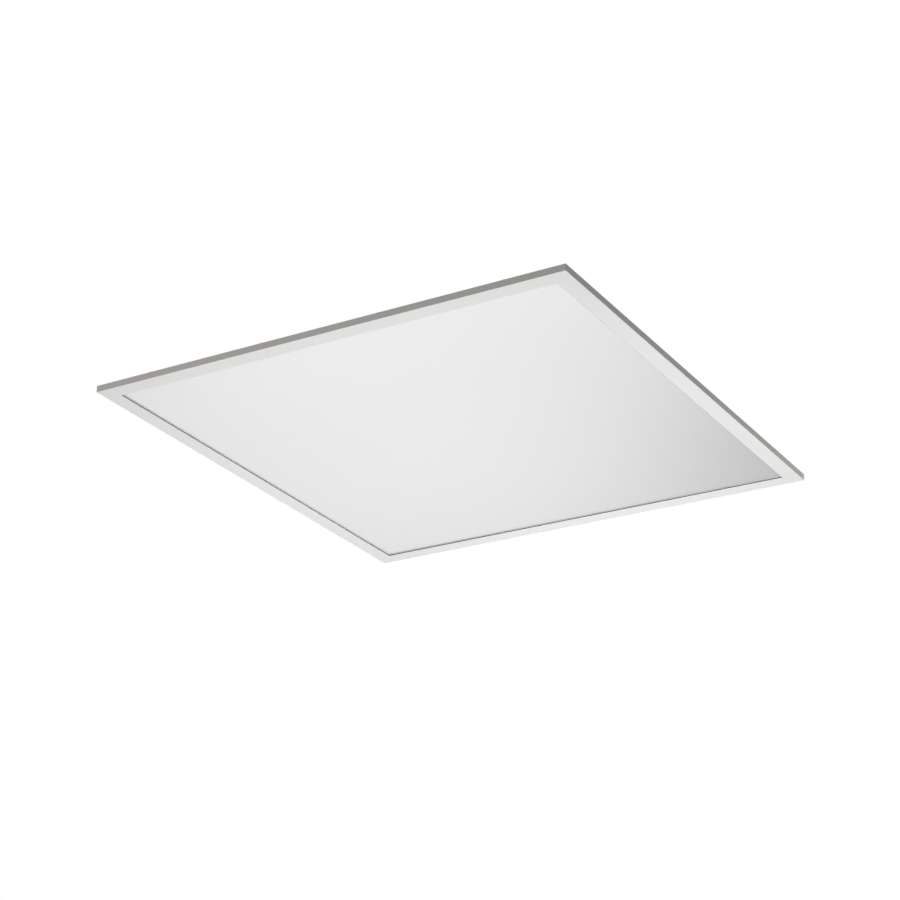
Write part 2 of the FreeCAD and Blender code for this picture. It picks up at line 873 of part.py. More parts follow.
def make_tray():
    """Driver tray with bosses, hinge knuckles and knockouts, open at its right end."""
    inner_radius = tray_corner_radius - tray_sheet
    tray = rounded_box(tray_left, tray_right, tray_front, tray_rear, back_top, tray_top, tray_corner_radius)
    tray = tray.cut(
        rounded_box(
            tray_left + tray_sheet, tray_right + tray_sheet, tray_front + tray_sheet, tray_rear - tray_sheet,
            tray_floor, tray_top + tray_sheet, inner_radius,
        )
    )
    tray = tray.cut(
        block(
            tray_right - tray_sheet, tray_right + tray_sheet, tray_front + tray_sheet, tray_rear - tray_sheet,
            tray_floor, tray_top,
        )
    )
    for x, y in boss_places():
        tray = joined([tray, rod(boss_radius, x, y, back_top, boss_top)])
        tray = tray.cut(rod(boss_radius - tray_sheet, x, y, back_top, boss_top - tray_sheet))
        tray = tray.cut(rod(driver_screw_radius + screw_gap, x, y, back_top, boss_top))
    for x, y in tray_rivet_places():
        tray = tray.cut(rod(rivet_radius + screw_gap, x, y, back_top, tray_floor))
    tray = tray.cut(
        slot_solid(grommet_x, channel_middle, back_top, tray_floor, grommet_half_length, grommet_half_width)
    )

    def web(x0, x1):
        low = hinge_z - knuckle_radius
        return block(x0, x1, hinge_y, tray_front + tray_sheet / 2, low, low + tray_sheet)

    side = knuckle_length + knuckle_gap
    tray = hinge_pieces(tray, ((-side, web), (side, web)), hinge_pin_radius + hinge_pin_gap)
    outer = vec(tray_left, tray_middle, entry_z)
    tray = tray.cut(knockout(outer, outer + vec(knockout_groove, 0, 0)))
    outer = vec(tray_right - entry_flange - 2 * entry_hole_radius, tray_rear, entry_z)
    tray = tray.cut(knockout(outer, outer - vec(0, knockout_groove, 0)))
    for x, z in entry_rivet_places():
        tray = tray.cut(
            cross_rod(rivet_radius + screw_gap, vec(x, tray_front, z), vec(x, tray_front + tray_sheet, z))
        )
        tray = tray.cut(
            cross_rod(rivet_radius + screw_gap, vec(x, tray_rear - tray_sheet, z), vec(x, tray_rear, z))
        )
    save("driver_tray", tray)


def make_latch_bracket():
    """Bracket on the tray's rear wall, with the slotted shelf that the latch's wings lock under."""
    wall = tray_rear - tray_sheet
    shelf = block(
        -shelf_width / 2, shelf_width / 2, tray_rear - shelf_reach, wall, shelf_top - tray_sheet, shelf_top
    )
    tab = block(-shelf_width / 2, shelf_width / 2, wall - tray_sheet, wall, shelf_top - shelf_tab, shelf_top)
    slot = slot_solid(
        0, latch_y, shelf_top - tray_sheet, shelf_top, shelf_slot_length / 2, shelf_slot_width / 2
    )
    save("latch_bracket", joined([shelf, tab]).cut(slot))


def entry_rivet_places():
    """Two rivets along each side flange of the entry plate, as (x, z)."""
    x = tray_right - tray_sheet - entry_flange / 2
    middle = (tray_floor + tray_top) / 2
    return ((x, middle - entry_rivet_spacing / 2), (x, middle + entry_rivet_spacing / 2))


def make_entry_plate():
    """End plate with the open cable entry, riveted between the tray's long walls."""
    front = tray_front + tray_sheet + entry_gap
    rear = tray_rear - tray_sheet - entry_gap
    bottom = tray_floor + entry_gap
    left = tray_right - tray_sheet - entry_flange
    plate = block(left, tray_right, front, rear, bottom, tray_top)
    plate = plate.cut(
        block(left, tray_right - tray_sheet, front + tray_sheet, rear - tray_sheet, bottom, tray_top)
    )
    start = vec(tray_right - tray_sheet, tray_middle, entry_z)
    plate = plate.cut(cross_rod(entry_hole_radius, start, start + vec(tray_sheet, 0, 0)))
    rivets = [blind_rivet(x, y, chamber_top, tray_floor) for x, y in tray_rivet_places()]
    for x, z in entry_rivet_places():
        for y, outward in ((front, -1), (rear, 1)):
            inner = y - outward * tray_sheet
            plate = plate.cut(cross_rod(rivet_radius + screw_gap, vec(x, inner, z), vec(x, y, z)))
            skin = y + outward * (entry_gap + tray_sheet)
            head_end = skin + outward * side_rivet_head_height
            rivets.append(
                joined(
                    [
                        cross_rod(rivet_radius, vec(x, inner, z), vec(x, skin, z)),
                        cross_rod(side_rivet_head_radius, vec(x, skin, z), vec(x, head_end, z)),
                    ]
                )
            )
    save("cable_entry_plate", plate)
    save("tray_rivets", group(rivets))


def make_lid():
    """Tray lid with three turned-down edges and hinge knuckles along its front, and the two hinge pins."""
    out = lid_gap + lid_sheet
    bottom = lid_top - lid_sheet - lid_flange
    lid = block(tray_left - out, tray_right + out, tray_front, tray_rear + out, bottom, lid_top)
    edges = [
        edge for edge in lid.Edges
        if edge.BoundBox.YMin > tray_front + out
        or (edge.BoundBox.ZMin > lid_top - lid_sheet / 2 and edge.BoundBox.YLength > out)
    ]
    lid = lid.makeFillet(lid_sheet, [e for e in edges if e.BoundBox.ZMax > bottom + lid_sheet / 2])
    lid = lid.cut(
        block(
            tray_left - lid_gap, tray_right + lid_gap, tray_front - out, tray_rear + lid_gap,
            bottom - lid_sheet, lid_bottom,
        )
    )
    pad = rounded_box(
        tray_left + lid_pad_inset, tray_right - lid_pad_inset,
        tray_front + lid_pad_inset, latch_y - latch_head_radius - lid_pad_inset / 2,
        lid_top - lid_sheet / 2, lid_top + lid_pad_height, lid_pad_radius,
    )
    lid = joined([lid, pad])
    lid = lid.cut(rod(latch_shank_radius + latch_shank_gap, 0, latch_y, lid_bottom, lid_top))

    def web(x0, x1):
        return block(x0, x1, hinge_y, tray_front + lid_sheet, lid_top - lid_sheet, lid_top)

    lid = hinge_pieces(lid, ((0, web),), hinge_pin_radius + hinge_pin_gap)
    save("driver_lid", lid)
    pins = []
    reach = 3 * knuckle_length / 2 + 2 * knuckle_gap
    for place in (-hinge_x, hinge_x):
        left = vec(place - reach, hinge_y, hinge_z)
        right = vec(place + reach, hinge_y, hinge_z)
        head = vec(left.x - lid_sheet, hinge_y, hinge_z)
        pins.append(joined([cross_rod(hinge_pin_radius, head, right), cross_rod(hinge_pin_head, head, left)]))
    save("lid_hinge_pins", group(pins))


def make_latch():
    """Quarter-turn latch: slotted head on the lid, washer under it, and wings that lock under the shelf."""
    head_top = lid_top + latch_head_height
    wing_top = shelf_top - tray_sheet - latch_wing_height / 2
    wing_bottom = wing_top - latch_wing_height
    head = rod(latch_head_radius, 0, latch_y, lid_top, head_top)
    rim = [edge for edge in head.Edges if edge.BoundBox.ZMin > head_top - 1e-6]
    head = head.makeFillet(latch_head_round, rim)
    coin = block(
        -latch_head_radius, latch_head_radius, latch_y - coin_slot_width / 2, latch_y + coin_slot_width / 2,
        head_top - coin_slot_depth, head_top,
    )
    washer_top = lid_bottom - lid_clearance
    latch = joined(
        [
            head.cut(coin),
            rod(latch_shank_radius, 0, latch_y, wing_bottom, lid_top),
            rod(latch_washer_radius, 0, latch_y, washer_top - latch_washer_height, washer_top),
            block(
                -latch_wing_reach, latch_wing_reach, latch_y - latch_wing_width / 2,
                latch_y + latch_wing_width / 2, wing_bottom, wing_top,
            ),
        ]
    )
    save("lid_latch", latch)


def terminal(poles, face_x, inward):
    """Terminal strip on the circuit board with its wire holes in the outer face."""
    width = poles * terminal_pitch
    x0, x1 = sorted((face_x, face_x + inward * terminal_length))
    body = block(
        x0, x1, driver_middle_y - width / 2, driver_middle_y + width / 2,
        circuit_top, circuit_top + terminal_height,
    )
    top = circuit_top + terminal_height
    side = terminal_button_width / 2
    for y in pole_places(poles, terminal_pitch):
        entry = vec(face_x, y, terminal_hole_z)
        hole_end = vec(face_x + inward * terminal_hole_depth, y, terminal_hole_z)
        body = body.cut(cross_rod(terminal_hole_radius, entry, hole_end))
        button = block(
            x0 + terminal_button_inset, x1 - terminal_button_inset, y - side, y + side,
            top - terminal_button_depth, top,
        )
        body = body.cut(button)
    return body


def pole_places(poles, pitch):
    """Y of each pole of a terminal strip on the driver's middle line."""
    return [driver_middle_y + offset for offset in spread(poles, pitch)]


def make_driver():
    """Driver case and cover, circuit board and the parts on it, the terminals and the fixing screws."""
    ends = ((driver_left, -1, output_poles), (driver_right, 1, input_poles))
    inner_front = driver_front + driver_sheet + driver_gap
    inner_rear = driver_rear - driver_sheet - driver_gap
    cover_inner_top = driver_top - driver_sheet
    case = block(driver_left, driver_right, inner_front, inner_rear, boss_top, case_floor)
    for end, outward, poles in ends:
        x0, x1 = sorted((end, end - outward * driver_sheet))
        wall = block(x0, x1, inner_front, inner_rear, boss_top, cover_inner_top - driver_gap)
        width = poles * terminal_pitch + 2 * driver_gap
        window = block(
            x0, x1, driver_middle_y - width / 2, driver_middle_y + width / 2,
            circuit_top - driver_gap, circuit_top + terminal_height + driver_gap,
        )
        x0, x1 = sorted((end, end + outward * ear_length))
        ear_front = driver_middle_y - ear_width / 2
        ear = block(x0, x1, ear_front, ear_front + ear_width, boss_top, case_floor)
        ear = ear.cut(
            rod(driver_screw_radius + screw_gap, (x0 + x1) / 2, driver_middle_y, boss_top, case_floor)
        )
        case = joined([case, wall.cut(window), ear])
    circuit_front = inner_front + circuit_gap
    circuit_rear = inner_rear - circuit_gap
    circuit_left = driver_left + driver_sheet + driver_gap
    circuit_right = driver_right - driver_sheet - driver_gap
    for x in (circuit_left + 3 * board_standoff_radius, circuit_right - 3 * board_standoff_radius):
        for y in (circuit_front + board_standoff_radius, circuit_rear - board_standoff_radius):
            case = joined([case, rod(board_standoff_radius, x, y, boss_top, circuit_bottom)])
    save("driver_case", case)
    cover = block(driver_left, driver_right, driver_front, driver_rear, case_floor, driver_top)
    edges = [edge for edge in cover.Edges if edge.BoundBox.ZMin > driver_top - 1e-6]
    edges = [edge for edge in edges if edge.BoundBox.XLength > driver_sheet]
    cover = cover.makeFillet(driver_sheet, edges)
    cover = cover.cut(
        block(
            driver_left, driver_right, driver_front + driver_sheet, driver_rear - driver_sheet,
            case_floor, cover_inner_top,
        )
    )
    selector_x = driver_middle_x + selector_place
    opening = (selector_length / 2 + driver_gap, selector_width / 2 + driver_gap)
    cover = cover.cut(
        block(
            selector_x - opening[0], selector_x + opening[0],
            driver_middle_y - opening[1], driver_middle_y + opening[1], cover_inner_top, driver_top,
        )
    )
    save("driver_cover", cover)
    save("driver_circuit_board", block(
        circuit_left, circuit_right, circuit_front, circuit_rear, circuit_bottom, circuit_top
    ))
    save("driver_output_terminal", terminal(output_poles, driver_left, 1))
    save("driver_input_terminal", terminal(input_poles, driver_right, -1))
    screws = [
        pan_screw(
            x, y, case_floor, driver_screw_radius, driver_screw_head_radius,
            driver_screw_head_height, driver_screw_length,
        )
        for x, y in boss_places()[:2]
    ]
    save("driver_screws", group(screws))


def make_driver_parts():
    """Transformer, choke and capacitors that stand on the circuit board."""
    x0 = driver_middle_x + core_limb
    core = block(
        x0, x0 + core_length, driver_middle_y - core_width / 2, driver_middle_y + core_width / 2,
        circuit_top, circuit_top + core_height,
    )
    window = block(
        x0 + core_limb, x0 + core_length - core_limb, driver_middle_y - core_width / 2,
        driver_middle_y + core_width / 2, circuit_top + core_limb, circuit_top + core_height - core_limb,
    )
    save("driver_transformer_core", core.cut(window))
    winding = block(
        x0 + core_limb + winding_gap, x0 + core_length - core_limb - winding_gap,
        driver_middle_y - core_width / 2 - core_limb / 2, driver_middle_y + core_width / 2 + core_limb / 2,
        circuit_top + core_limb + winding_gap, circuit_top + core_height - core_limb - winding_gap,
    )
    posts = []
    for side in (-1, 1):
        y = driver_middle_y + side * (core_width / 2 + core_limb / 4)
        posts.append(
            block(
                x0 + core_limb + winding_gap, x0 + core_length - core_limb - winding_gap,
                y - core_limb / 4, y + core_limb / 4, circuit_top, circuit_top + core_limb + 2 * winding_gap,
            )
        )
    save("driver_transformer_winding", joined([winding] + posts))
    capacitors = []
    large_x = driver_left + terminal_length + capacitor_gap + large_capacitor_radius
    small_x = large_x + large_capacitor_radius + capacitor_gap + small_capacitor_radius
    for x, y, radius, height in (
        (large_x, driver_middle_y, large_capacitor_radius, large_capacitor_height),
        (small_x, driver_middle_y - small_capacitor_side, small_capacitor_radius, small_capacitor_height),
        (small_x, driver_middle_y + small_capacitor_side, small_capacitor_radius, small_capacitor_height),
    ):
        can = rod(radius, x, y, circuit_top, circuit_top + height)
        rim = [edge for edge in can.Edges if edge.BoundBox.ZMin > circuit_top + height / 2]
        capacitors.append(can.makeFillet(radius * capacitor_edge_share, rim))
    save("driver_capacitors", group(capacitors))
    choke_x = x0 + core_length + choke_radius + choke_wire + core_limb
    ring_z = circuit_top + choke_wire
    ring = Part.makeTorus(choke_radius, choke_wire, vec(choke_x, driver_middle_y, ring_z), vec(0, 0, 1))
    flat = block(
        choke_x - choke_radius - choke_wire, choke_x + choke_radius + choke_wire,
        driver_middle_y - choke_radius - choke_wire, driver_middle_y + choke_radius + choke_wire,
        circuit_top + choke_flat, ring_z + choke_wire,
    )
    ring = ring.common(flat)
    save("driver_choke", moved(ring, 0, 0, -choke_flat))


def make_selector():
    """Slide switch that sets the driver's output: its body in the cover, and the knob that travels."""
    x = driver_middle_x + selector_place
    top = driver_top + selector_rise
    body = block(
        x - selector_length / 2, x + selector_length / 2, driver_middle_y - selector_width / 2,
        driver_middle_y + selector_width / 2, top - selector_depth, top,
    )
    slot_half = (selector_travel + knob_length) / 2 + knob_gap
    slot_bottom = top - selector_depth / 2
    body = body.cut(
        block(
            x - slot_half, x + slot_half, driver_middle_y - knob_width / 2 - knob_gap,
            driver_middle_y + knob_width / 2 + knob_gap, slot_bottom, top,
        )
    )
    rim_front = driver_middle_y - selector_width / 2
    rim_rear = driver_middle_y + selector_width / 2
    rim_left = x - selector_length / 2
    rim_right = x + selector_length / 2
    rim_top = top - selector_rise / 2
    rim = block(
        rim_left - selector_rim, rim_right + selector_rim, rim_front - selector_rim, rim_rear + selector_rim,
        driver_top, rim_top,
    )
    hollow = block(rim_left, rim_right, rim_front, rim_rear, driver_top, rim_top)
    save("selector_body", joined([body, rim.cut(hollow)]))
    knob_left = x - selector_travel / 2 - knob_length / 2
    knob = block(
        knob_left, knob_left + knob_length, driver_middle_y - knob_width / 2,
        driver_middle_y + knob_width / 2, slot_bottom + knob_gap, top + knob_rise,
    )
    groove_pitch = knob_length / (knob_groove_count + 1)
    grooves = [
        block(
            knob_left + (i + 1) * groove_pitch - knob_groove / 2,
            knob_left + (i + 1) * groove_pitch + knob_groove / 2,
            driver_middle_y - knob_width / 2, driver_middle_y + knob_width / 2,
            top + knob_rise - knob_groove, top + knob_rise,
        )
        for i in range(knob_groove_count)
    ]
    save("selector_knob", knob.cut(grooves))


def make_terminal_block():
    """Mains terminal block with a lifting lever for each pole."""
    body = block(block_left, block_right, block_front, block_front + block_width, tray_floor, block_top)
    pocket_left = lever_axis_x - lever_thickness / 2 - lever_gap
    pocket_bottom = lever_axis_z - lever_thickness / 2 - lever_gap
    for i, y in enumerate(pole_places(lever_poles, block_pitch)):
        half_width = lever_width / 2
        body = body.cut(
            block(pocket_left, block_right, y - half_width - lever_gap, y + half_width + lever_gap,
                  pocket_bottom, block_top)
        )
        pivot_reach = half_width + lever_pivot_reach
        start = vec(lever_axis_x, y - pivot_reach - lever_gap / 2, lever_axis_z)
        end = vec(lever_axis_x, y + pivot_reach + lever_gap / 2, lever_axis_z)
        body = body.cut(cross_rod(lever_pivot_radius + pivot_gap, start, end))
        inward = vec(block_hole_depth, 0, 0)
        inner_entry = vec(block_left, y, wire_z)
        body = body.cut(cross_rod(block_hole_radius, inner_entry, inner_entry + inward))
        field_entry = vec(block_right, y, wire_z)
        body = body.cut(cross_rod(block_entry_radius, field_entry, field_entry - inward))
        lever = joined(
            [
                cross_rod(
                    lever_thickness / 2,
                    vec(lever_axis_x, y - half_width, lever_axis_z),
                    vec(lever_axis_x, y + half_width, lever_axis_z),
                ),
                block(
                    lever_axis_x, lever_axis_x + lever_length - lever_gap, y - half_width, y + half_width,
                    lever_axis_z, lever_axis_z + lever_thickness / 2,
                ),
                cross_rod(
                    lever_pivot_radius,
                    vec(lever_axis_x, y - pivot_reach, lever_axis_z),
                    vec(lever_axis_x, y + pivot_reach, lever_axis_z),
                ),
            ]
        )
        save("terminal_lever_%d" % (i + 1), lever)
    save("terminal_block", body)


def make_earth():
    """Earth screw on its boss, and the lug under its head with the wire barrel."""
    x = earth_x
    ring_top = boss_top + lug_thickness
    lug = rod(lug_radius, x, earth_y, boss_top, ring_top)
    barrel_start = earth_y - lug_radius
    barrel_z = boss_top + lug_barrel_radius
    lug = joined(
        [
            lug,
            block(x - lug_barrel_radius, x + lug_barrel_radius, barrel_start - lug_barrel_length / 2,
                  earth_y - earth_screw_radius, boss_top, ring_top),
            cross_rod(
                lug_barrel_radius,
                vec(x, barrel_start - lug_barrel_length, barrel_z),
                vec(x, barrel_start, barrel_z),
            ),
        ]
    )
    lug = lug.cut(rod(earth_screw_radius + screw_gap, x, earth_y, boss_top, ring_top + lug_barrel_radius))
    save("earth_lug", lug)
    save(
        "earth_screw",
        pan_screw(
            x, earth_y, ring_top, driver_screw_radius, earth_screw_head_radius,
            earth_screw_head_height, ring_top - tray_floor,
        ),
    )


def make_wires():
    """Mains wires in the tray, the two supply leads down through the grommet, and the grommet."""
    driver_y = pole_places(input_poles, terminal_pitch)
    block_y = pole_places(lever_poles, block_pitch)
    gap = block_left - driver_right
    for name, index in (("mains_wire_live", 0), ("mains_wire_neutral", 1)):
        points = [
            vec(driver_right, driver_y[index], terminal_hole_z),
            vec(driver_right + gap * mains_run_share, driver_y[index], terminal_hole_z),
            vec(block_left - gap * mains_run_share, block_y[index], wire_z),
            vec(block_left, block_y[index], wire_z),
        ]
        save(name, wire_tube(name, points, mains_wire_diameter))
    lug_face = earth_y - lug_radius - lug_barrel_length
    lug_z = boss_top + lug_barrel_radius
    points = [
        vec(block_left, block_y[2], wire_z),
        vec(earth_x, block_y[2], wire_z),
        vec(earth_x, lug_face - lug_lead_in, lug_z),
        vec(earth_x, lug_face, lug_z),
    ]
    save("earth_wire", wire_tube("earth_wire", points, mains_wire_diameter))
    output_y = pole_places(output_poles, terminal_pitch)
    socket_face = board_face - socket_depth
    for name, index, side, run_share in (
        ("supply_lead_left", 0, -1, left_lead_run_share),
        ("supply_lead_right", 1, 1, right_lead_run_share),
    ):
        x = grommet_x + side * lead_pair_spacing / 2
        run_y = driver_rear + (channel_middle - driver_rear) * run_share
        points = [
            vec(driver_left, output_y[index], terminal_hole_z),
            vec(x, output_y[index], terminal_hole_z),
            vec(x, run_y, terminal_hole_z - lead_spacing),
            vec(x, channel_middle, tray_floor + boss_radius),
            vec(x, channel_middle, upper_lead),
            vec(side * socket_face, channel_middle, upper_lead),
        ]
        save(name, wire_tube(name, points, lead_diameter))
    outer = slot_solid(
        grommet_x, channel_middle, chamber_top, tray_floor + grommet_flange_height,
        grommet_half_length - grommet_gap, grommet_half_width - grommet_gap,
    )
    flange = slot_solid(
        grommet_x, channel_middle, tray_floor, tray_floor + grommet_flange_height,
        grommet_half_length + grommet_flange, grommet_half_width + grommet_flange,
    )
    hole = slot_solid(
        grommet_x, channel_middle, chamber_top, tray_floor + grommet_flange_height,
        grommet_hole_half_length, grommet_hole_half_width,
    )
    save("lead_grommet", joined([outer, flange]).cut(hole))


def write_nodes():
    """Writes one STEP file for each node."""
    os.makedirs("parts", exist_ok=True)
    for name, shape in sorted(NODES.items()):
        if not shape.isValid() or any(solid.Volume <= 0 for solid in shape.Solids):
            print("not a sound solid:", name)
        shape.exportStep(os.path.join("parts", name + ".step"))
    print(len(NODES), "nodes")


make_frame()
make_layers()
make_lighting()
make_back_plate()
make_hangers()
make_grid_clips()
make_tray()
make_latch_bracket()
make_entry_plate()
make_lid()
make_latch()
make_driver()
make_driver_parts()
make_selector()
make_terminal_block()
make_earth()
make_wires()
write_nodes()
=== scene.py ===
"""Looks of a recessed troffer light: its finishes, small fittings, studio and camera."""

import json
import math

import bmesh
import bpy
from bpy.props import FloatProperty, FloatVectorProperty, PointerProperty
from mathutils import Matrix, Quaternion, Vector


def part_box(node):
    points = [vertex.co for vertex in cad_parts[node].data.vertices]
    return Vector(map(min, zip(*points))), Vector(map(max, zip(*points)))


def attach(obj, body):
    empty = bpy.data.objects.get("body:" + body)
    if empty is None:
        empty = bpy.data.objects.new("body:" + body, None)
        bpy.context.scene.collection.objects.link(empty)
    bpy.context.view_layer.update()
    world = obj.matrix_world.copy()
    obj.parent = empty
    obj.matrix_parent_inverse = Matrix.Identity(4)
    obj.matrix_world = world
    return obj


bl_info = {
    "name": "Recessed troffer light",
    "version": (1, 0, 0),
    "blender": (4, 5, 0),
    "location": "3D View > Sidebar > Troffer",
    "description": "Finishes, small fittings, studio and camera for a flat recessed troffer light",
    "category": "Object",
}

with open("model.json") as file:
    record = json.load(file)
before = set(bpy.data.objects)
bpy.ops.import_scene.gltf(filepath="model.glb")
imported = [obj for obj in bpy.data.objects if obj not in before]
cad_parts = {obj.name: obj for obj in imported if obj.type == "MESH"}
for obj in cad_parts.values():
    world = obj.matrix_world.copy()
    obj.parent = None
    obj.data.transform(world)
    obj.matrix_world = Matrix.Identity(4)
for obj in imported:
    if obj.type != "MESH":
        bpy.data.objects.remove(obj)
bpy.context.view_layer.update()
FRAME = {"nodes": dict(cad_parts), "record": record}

MM = 0.001
TURN = 2 * math.pi

# Places of the colour inputs and output among those of a Mix node
COLOUR_A = 6
COLOUR_B = 7
COLOUR_OUT = 2


# Shader building blocks


def grey(level):
    return (level, level, level)


class Socket:
    """One output in a shader tree. Arithmetic on it adds the matching Math nodes."""

    def __init__(self, shader, output):
        self.shader = shader
        self.output = output

    def maths(self, operation, *values):
        return self.shader.node("ShaderNodeMath", {"operation": operation}, dict(enumerate(values)))

    def __add__(self, other):
        return self.maths("ADD", self, other)

    def __radd__(self, other):
        return self.maths("ADD", other, self)

    def __sub__(self, other):
        return self.maths("SUBTRACT", self, other)

    def __rsub__(self, other):
        return self.maths("SUBTRACT", other, self)

    def __mul__(self, other):
        return self.maths("MULTIPLY", self, other)

    def __rmul__(self, other):
        return self.maths("MULTIPLY", other, self)

    def __truediv__(self, other):
        return self.maths("DIVIDE", self, other)

    def __rtruediv__(self, other):
        return self.maths("DIVIDE", other, self)

    def __abs__(self):
        return self.maths("ABSOLUTE", self)

    def power(self, exponent):
        return self.maths("POWER", self, exponent)

    def exponent(self):
        return self.maths("EXPONENT", self)

    def sine(self):
        return self.maths("SINE", self)

    def fraction(self):
        return self.maths("FRACT", self)

    def at_least(self, other):
        return self.maths("MAXIMUM", self, other)

    def angle(self, other):
        """Angle of the point (other, self) about the origin."""
        return self.maths("ARCTAN2", self, other)

    def rise(self, low, high):
        """0 below low, 1 above high and a smooth step between them."""
        return self.shader.node(
            "ShaderNodeMapRange",
            {"interpolation_type": "SMOOTHSTEP"},
            {"Value": self, "From Min": low, "From Max": high},
        )

    def fall(self, low, high):
        """1 below low, 0 above high and a smooth step between them."""
        return 1.0 - self.rise(low, high)


class Shader:
    """A node tree, built by calls that return its sockets."""

    def __init__(self, tree):
        self.tree = tree
        tree.nodes.clear()

    def node(self, kind, settings=None, inputs=None, output=0):
        """Adds a node, with its settings and inputs, and returns one of its outputs."""
        made = self.tree.nodes.new(kind)
        for name, value in (settings or {}).items():
            if name == "stops":
                self.fill_ramp(made.color_ramp, value)
            else:
                setattr(made, name, value)
        for key, value in (inputs or {}).items():
            self.feed(made.inputs[key], value)
        return Socket(self, made.outputs[output]) if len(made.outputs) else None

    def feed(self, socket, value):
        if isinstance(value, Socket):
            self.tree.links.new(value.output, socket)
        elif socket.type == "RGBA" and len(value) == 3:
            socket.default_value = (*value, 1.0)
        else:
            socket.default_value = value

    def fill_ramp(self, ramp, stops):
        while len(ramp.elements) < len(stops):
            ramp.elements.new(1.0)
        for element, (place, colour) in zip(ramp.elements, stops):
            element.position = place
            element.color = (*colour, 1.0)

    def place(self):
        """Position in the object, in metres."""
        return self.node("ShaderNodeTexCoord", output="Object")

    def split(self, vector):
        made = self.node("ShaderNodeSeparateXYZ", inputs={0: vector}).output.node
        return [Socket(self, output) for output in made.outputs]

    def stretched(self, vector, scale):
        """The vector times a scale for each axis, which draws a texture out along an axis."""
        return self.node("ShaderNodeVectorMath", {"operation": "MULTIPLY"}, {0: vector, 1: scale})

    def noise(self, vector, scale, detail=2.0):
        return self.node(
            "ShaderNodeTexNoise", inputs={"Vector": vector, "Scale": scale, "Detail": detail}
        )

    def cells(self, vector, scale, output="Distance", feature="F1"):
        return self.node(
            "ShaderNodeTexVoronoi", {"feature": feature}, {"Vector": vector, "Scale": scale}, output
        )

    def blend(self, factor, first, second, kind="MIX"):
        return self.node(
            "ShaderNodeMix",
            {"data_type": "RGBA", "blend_type": kind},
            {0: factor, COLOUR_A: first, COLOUR_B: second},
            COLOUR_OUT,
        )

    def shaded(self, colour, tone):
        """The colour times a grey tone."""
        return self.blend(1.0, colour, tone, "MULTIPLY")

    def ramp(self, value, stops):
        return self.node("ShaderNodeValToRGB", {"stops": stops}, {0: value})

    def bump(self, height, distance):
        return self.node("ShaderNodeBump", inputs={"Height": height, "Distance": distance})

    def emission(self, strength):
        """White light that a surface gives off."""
        return self.node("ShaderNodeEmission", inputs={"Color": grey(1.0), "Strength": strength})

    def mixed(self, factor, first, second):
        """The first shader where the factor is 0 and the second where it is 1."""
        return self.node("ShaderNodeMixShader", inputs={0: factor, 1: first, 2: second})


class Finish(Shader):
    """A material and its node tree."""

    def __init__(self, name):
        self.material = bpy.data.materials.new(name)
        self.material.use_nodes = True
        super().__init__(self.material.node_tree)

    def shown(self, shader):
        """The material, with that shader on its surface."""
        self.node("ShaderNodeOutputMaterial", inputs={"Surface": shader})
        return self.material

    def surface(self, colour, roughness, normal, **constants):
        """The material, with a Principled shader. The constants go to its other sockets."""
        inputs = {"Base Color": colour, "Roughness": roughness, "Normal": normal}
        for name, value in constants.items():
            inputs[name.replace("_", " ")] = value
        return self.shown(self.node("ShaderNodeBsdfPrincipled", inputs=inputs))


# Settings that a user would change


def colour_setting(name, description, default):
    return FloatVectorProperty(
        name=name, description=description, subtype="COLOR", size=3, min=0.0, max=1.0,
        default=default,
    )


def length_setting(name, description, millimetres):
    return FloatProperty(
        name=name, description=description, subtype="DISTANCE", unit="LENGTH", min=0.0,
        default=millimetres * MM,
    )


class TrofferColours(bpy.types.PropertyGroup):
    """Colours of the light's finishes."""

    frame: colour_setting("Frame", "White powder coat of the frame rails", (0.702, 0.702, 0.700))
    diffuser: colour_setting("Diffuser", "Opal sheet that faces the room", (0.668, 0.668, 0.665))
    back: colour_setting("Back plate", "White paint of the back plate", (0.76, 0.76, 0.75))
    box: colour_setting("Driver box", "White paint of the tray and its lid", (0.77, 0.77, 0.76))
    zinc: colour_setting("Galvanised steel", "Hanger brackets and grid clips", (0.62, 0.64, 0.66))
    bright_zinc: colour_setting("Zinc plating", "Screws and pins", (0.72, 0.73, 0.75))
    aluminium: colour_setting("Aluminium", "Rivets", (0.80, 0.81, 0.82))
    steel: colour_setting("Plain steel", "Corner keys and the driver's base", (0.52, 0.52, 0.53))
    driver: colour_setting("Driver cover", "White paint of the driver's cover", (0.72, 0.72, 0.71))
    lever: colour_setting("Levers", "Levers of the mains terminal block", (0.80, 0.20, 0.02))
    block: colour_setting("Terminal block", "Body of the mains terminal block", (0.33, 0.34, 0.35))
    dark: colour_setting("Black plastic", "Grommet and selector body", (0.022, 0.022, 0.023))
    red_lead: colour_setting("Red lead", "Positive supply lead and link lead", (0.42, 0.016, 0.012))
    brown_wire: colour_setting("Brown wire", "Live mains wire", (0.11, 0.038, 0.014))
    blue_wire: colour_setting("Blue wire", "Neutral mains wire", (0.015, 0.10, 0.36))
    earth_green: colour_setting("Earth green", "Green of the earth wire", (0.015, 0.21, 0.03))
    earth_yellow: colour_setting("Earth yellow", "Stripe of the earth wire", (0.80, 0.60, 0.02))


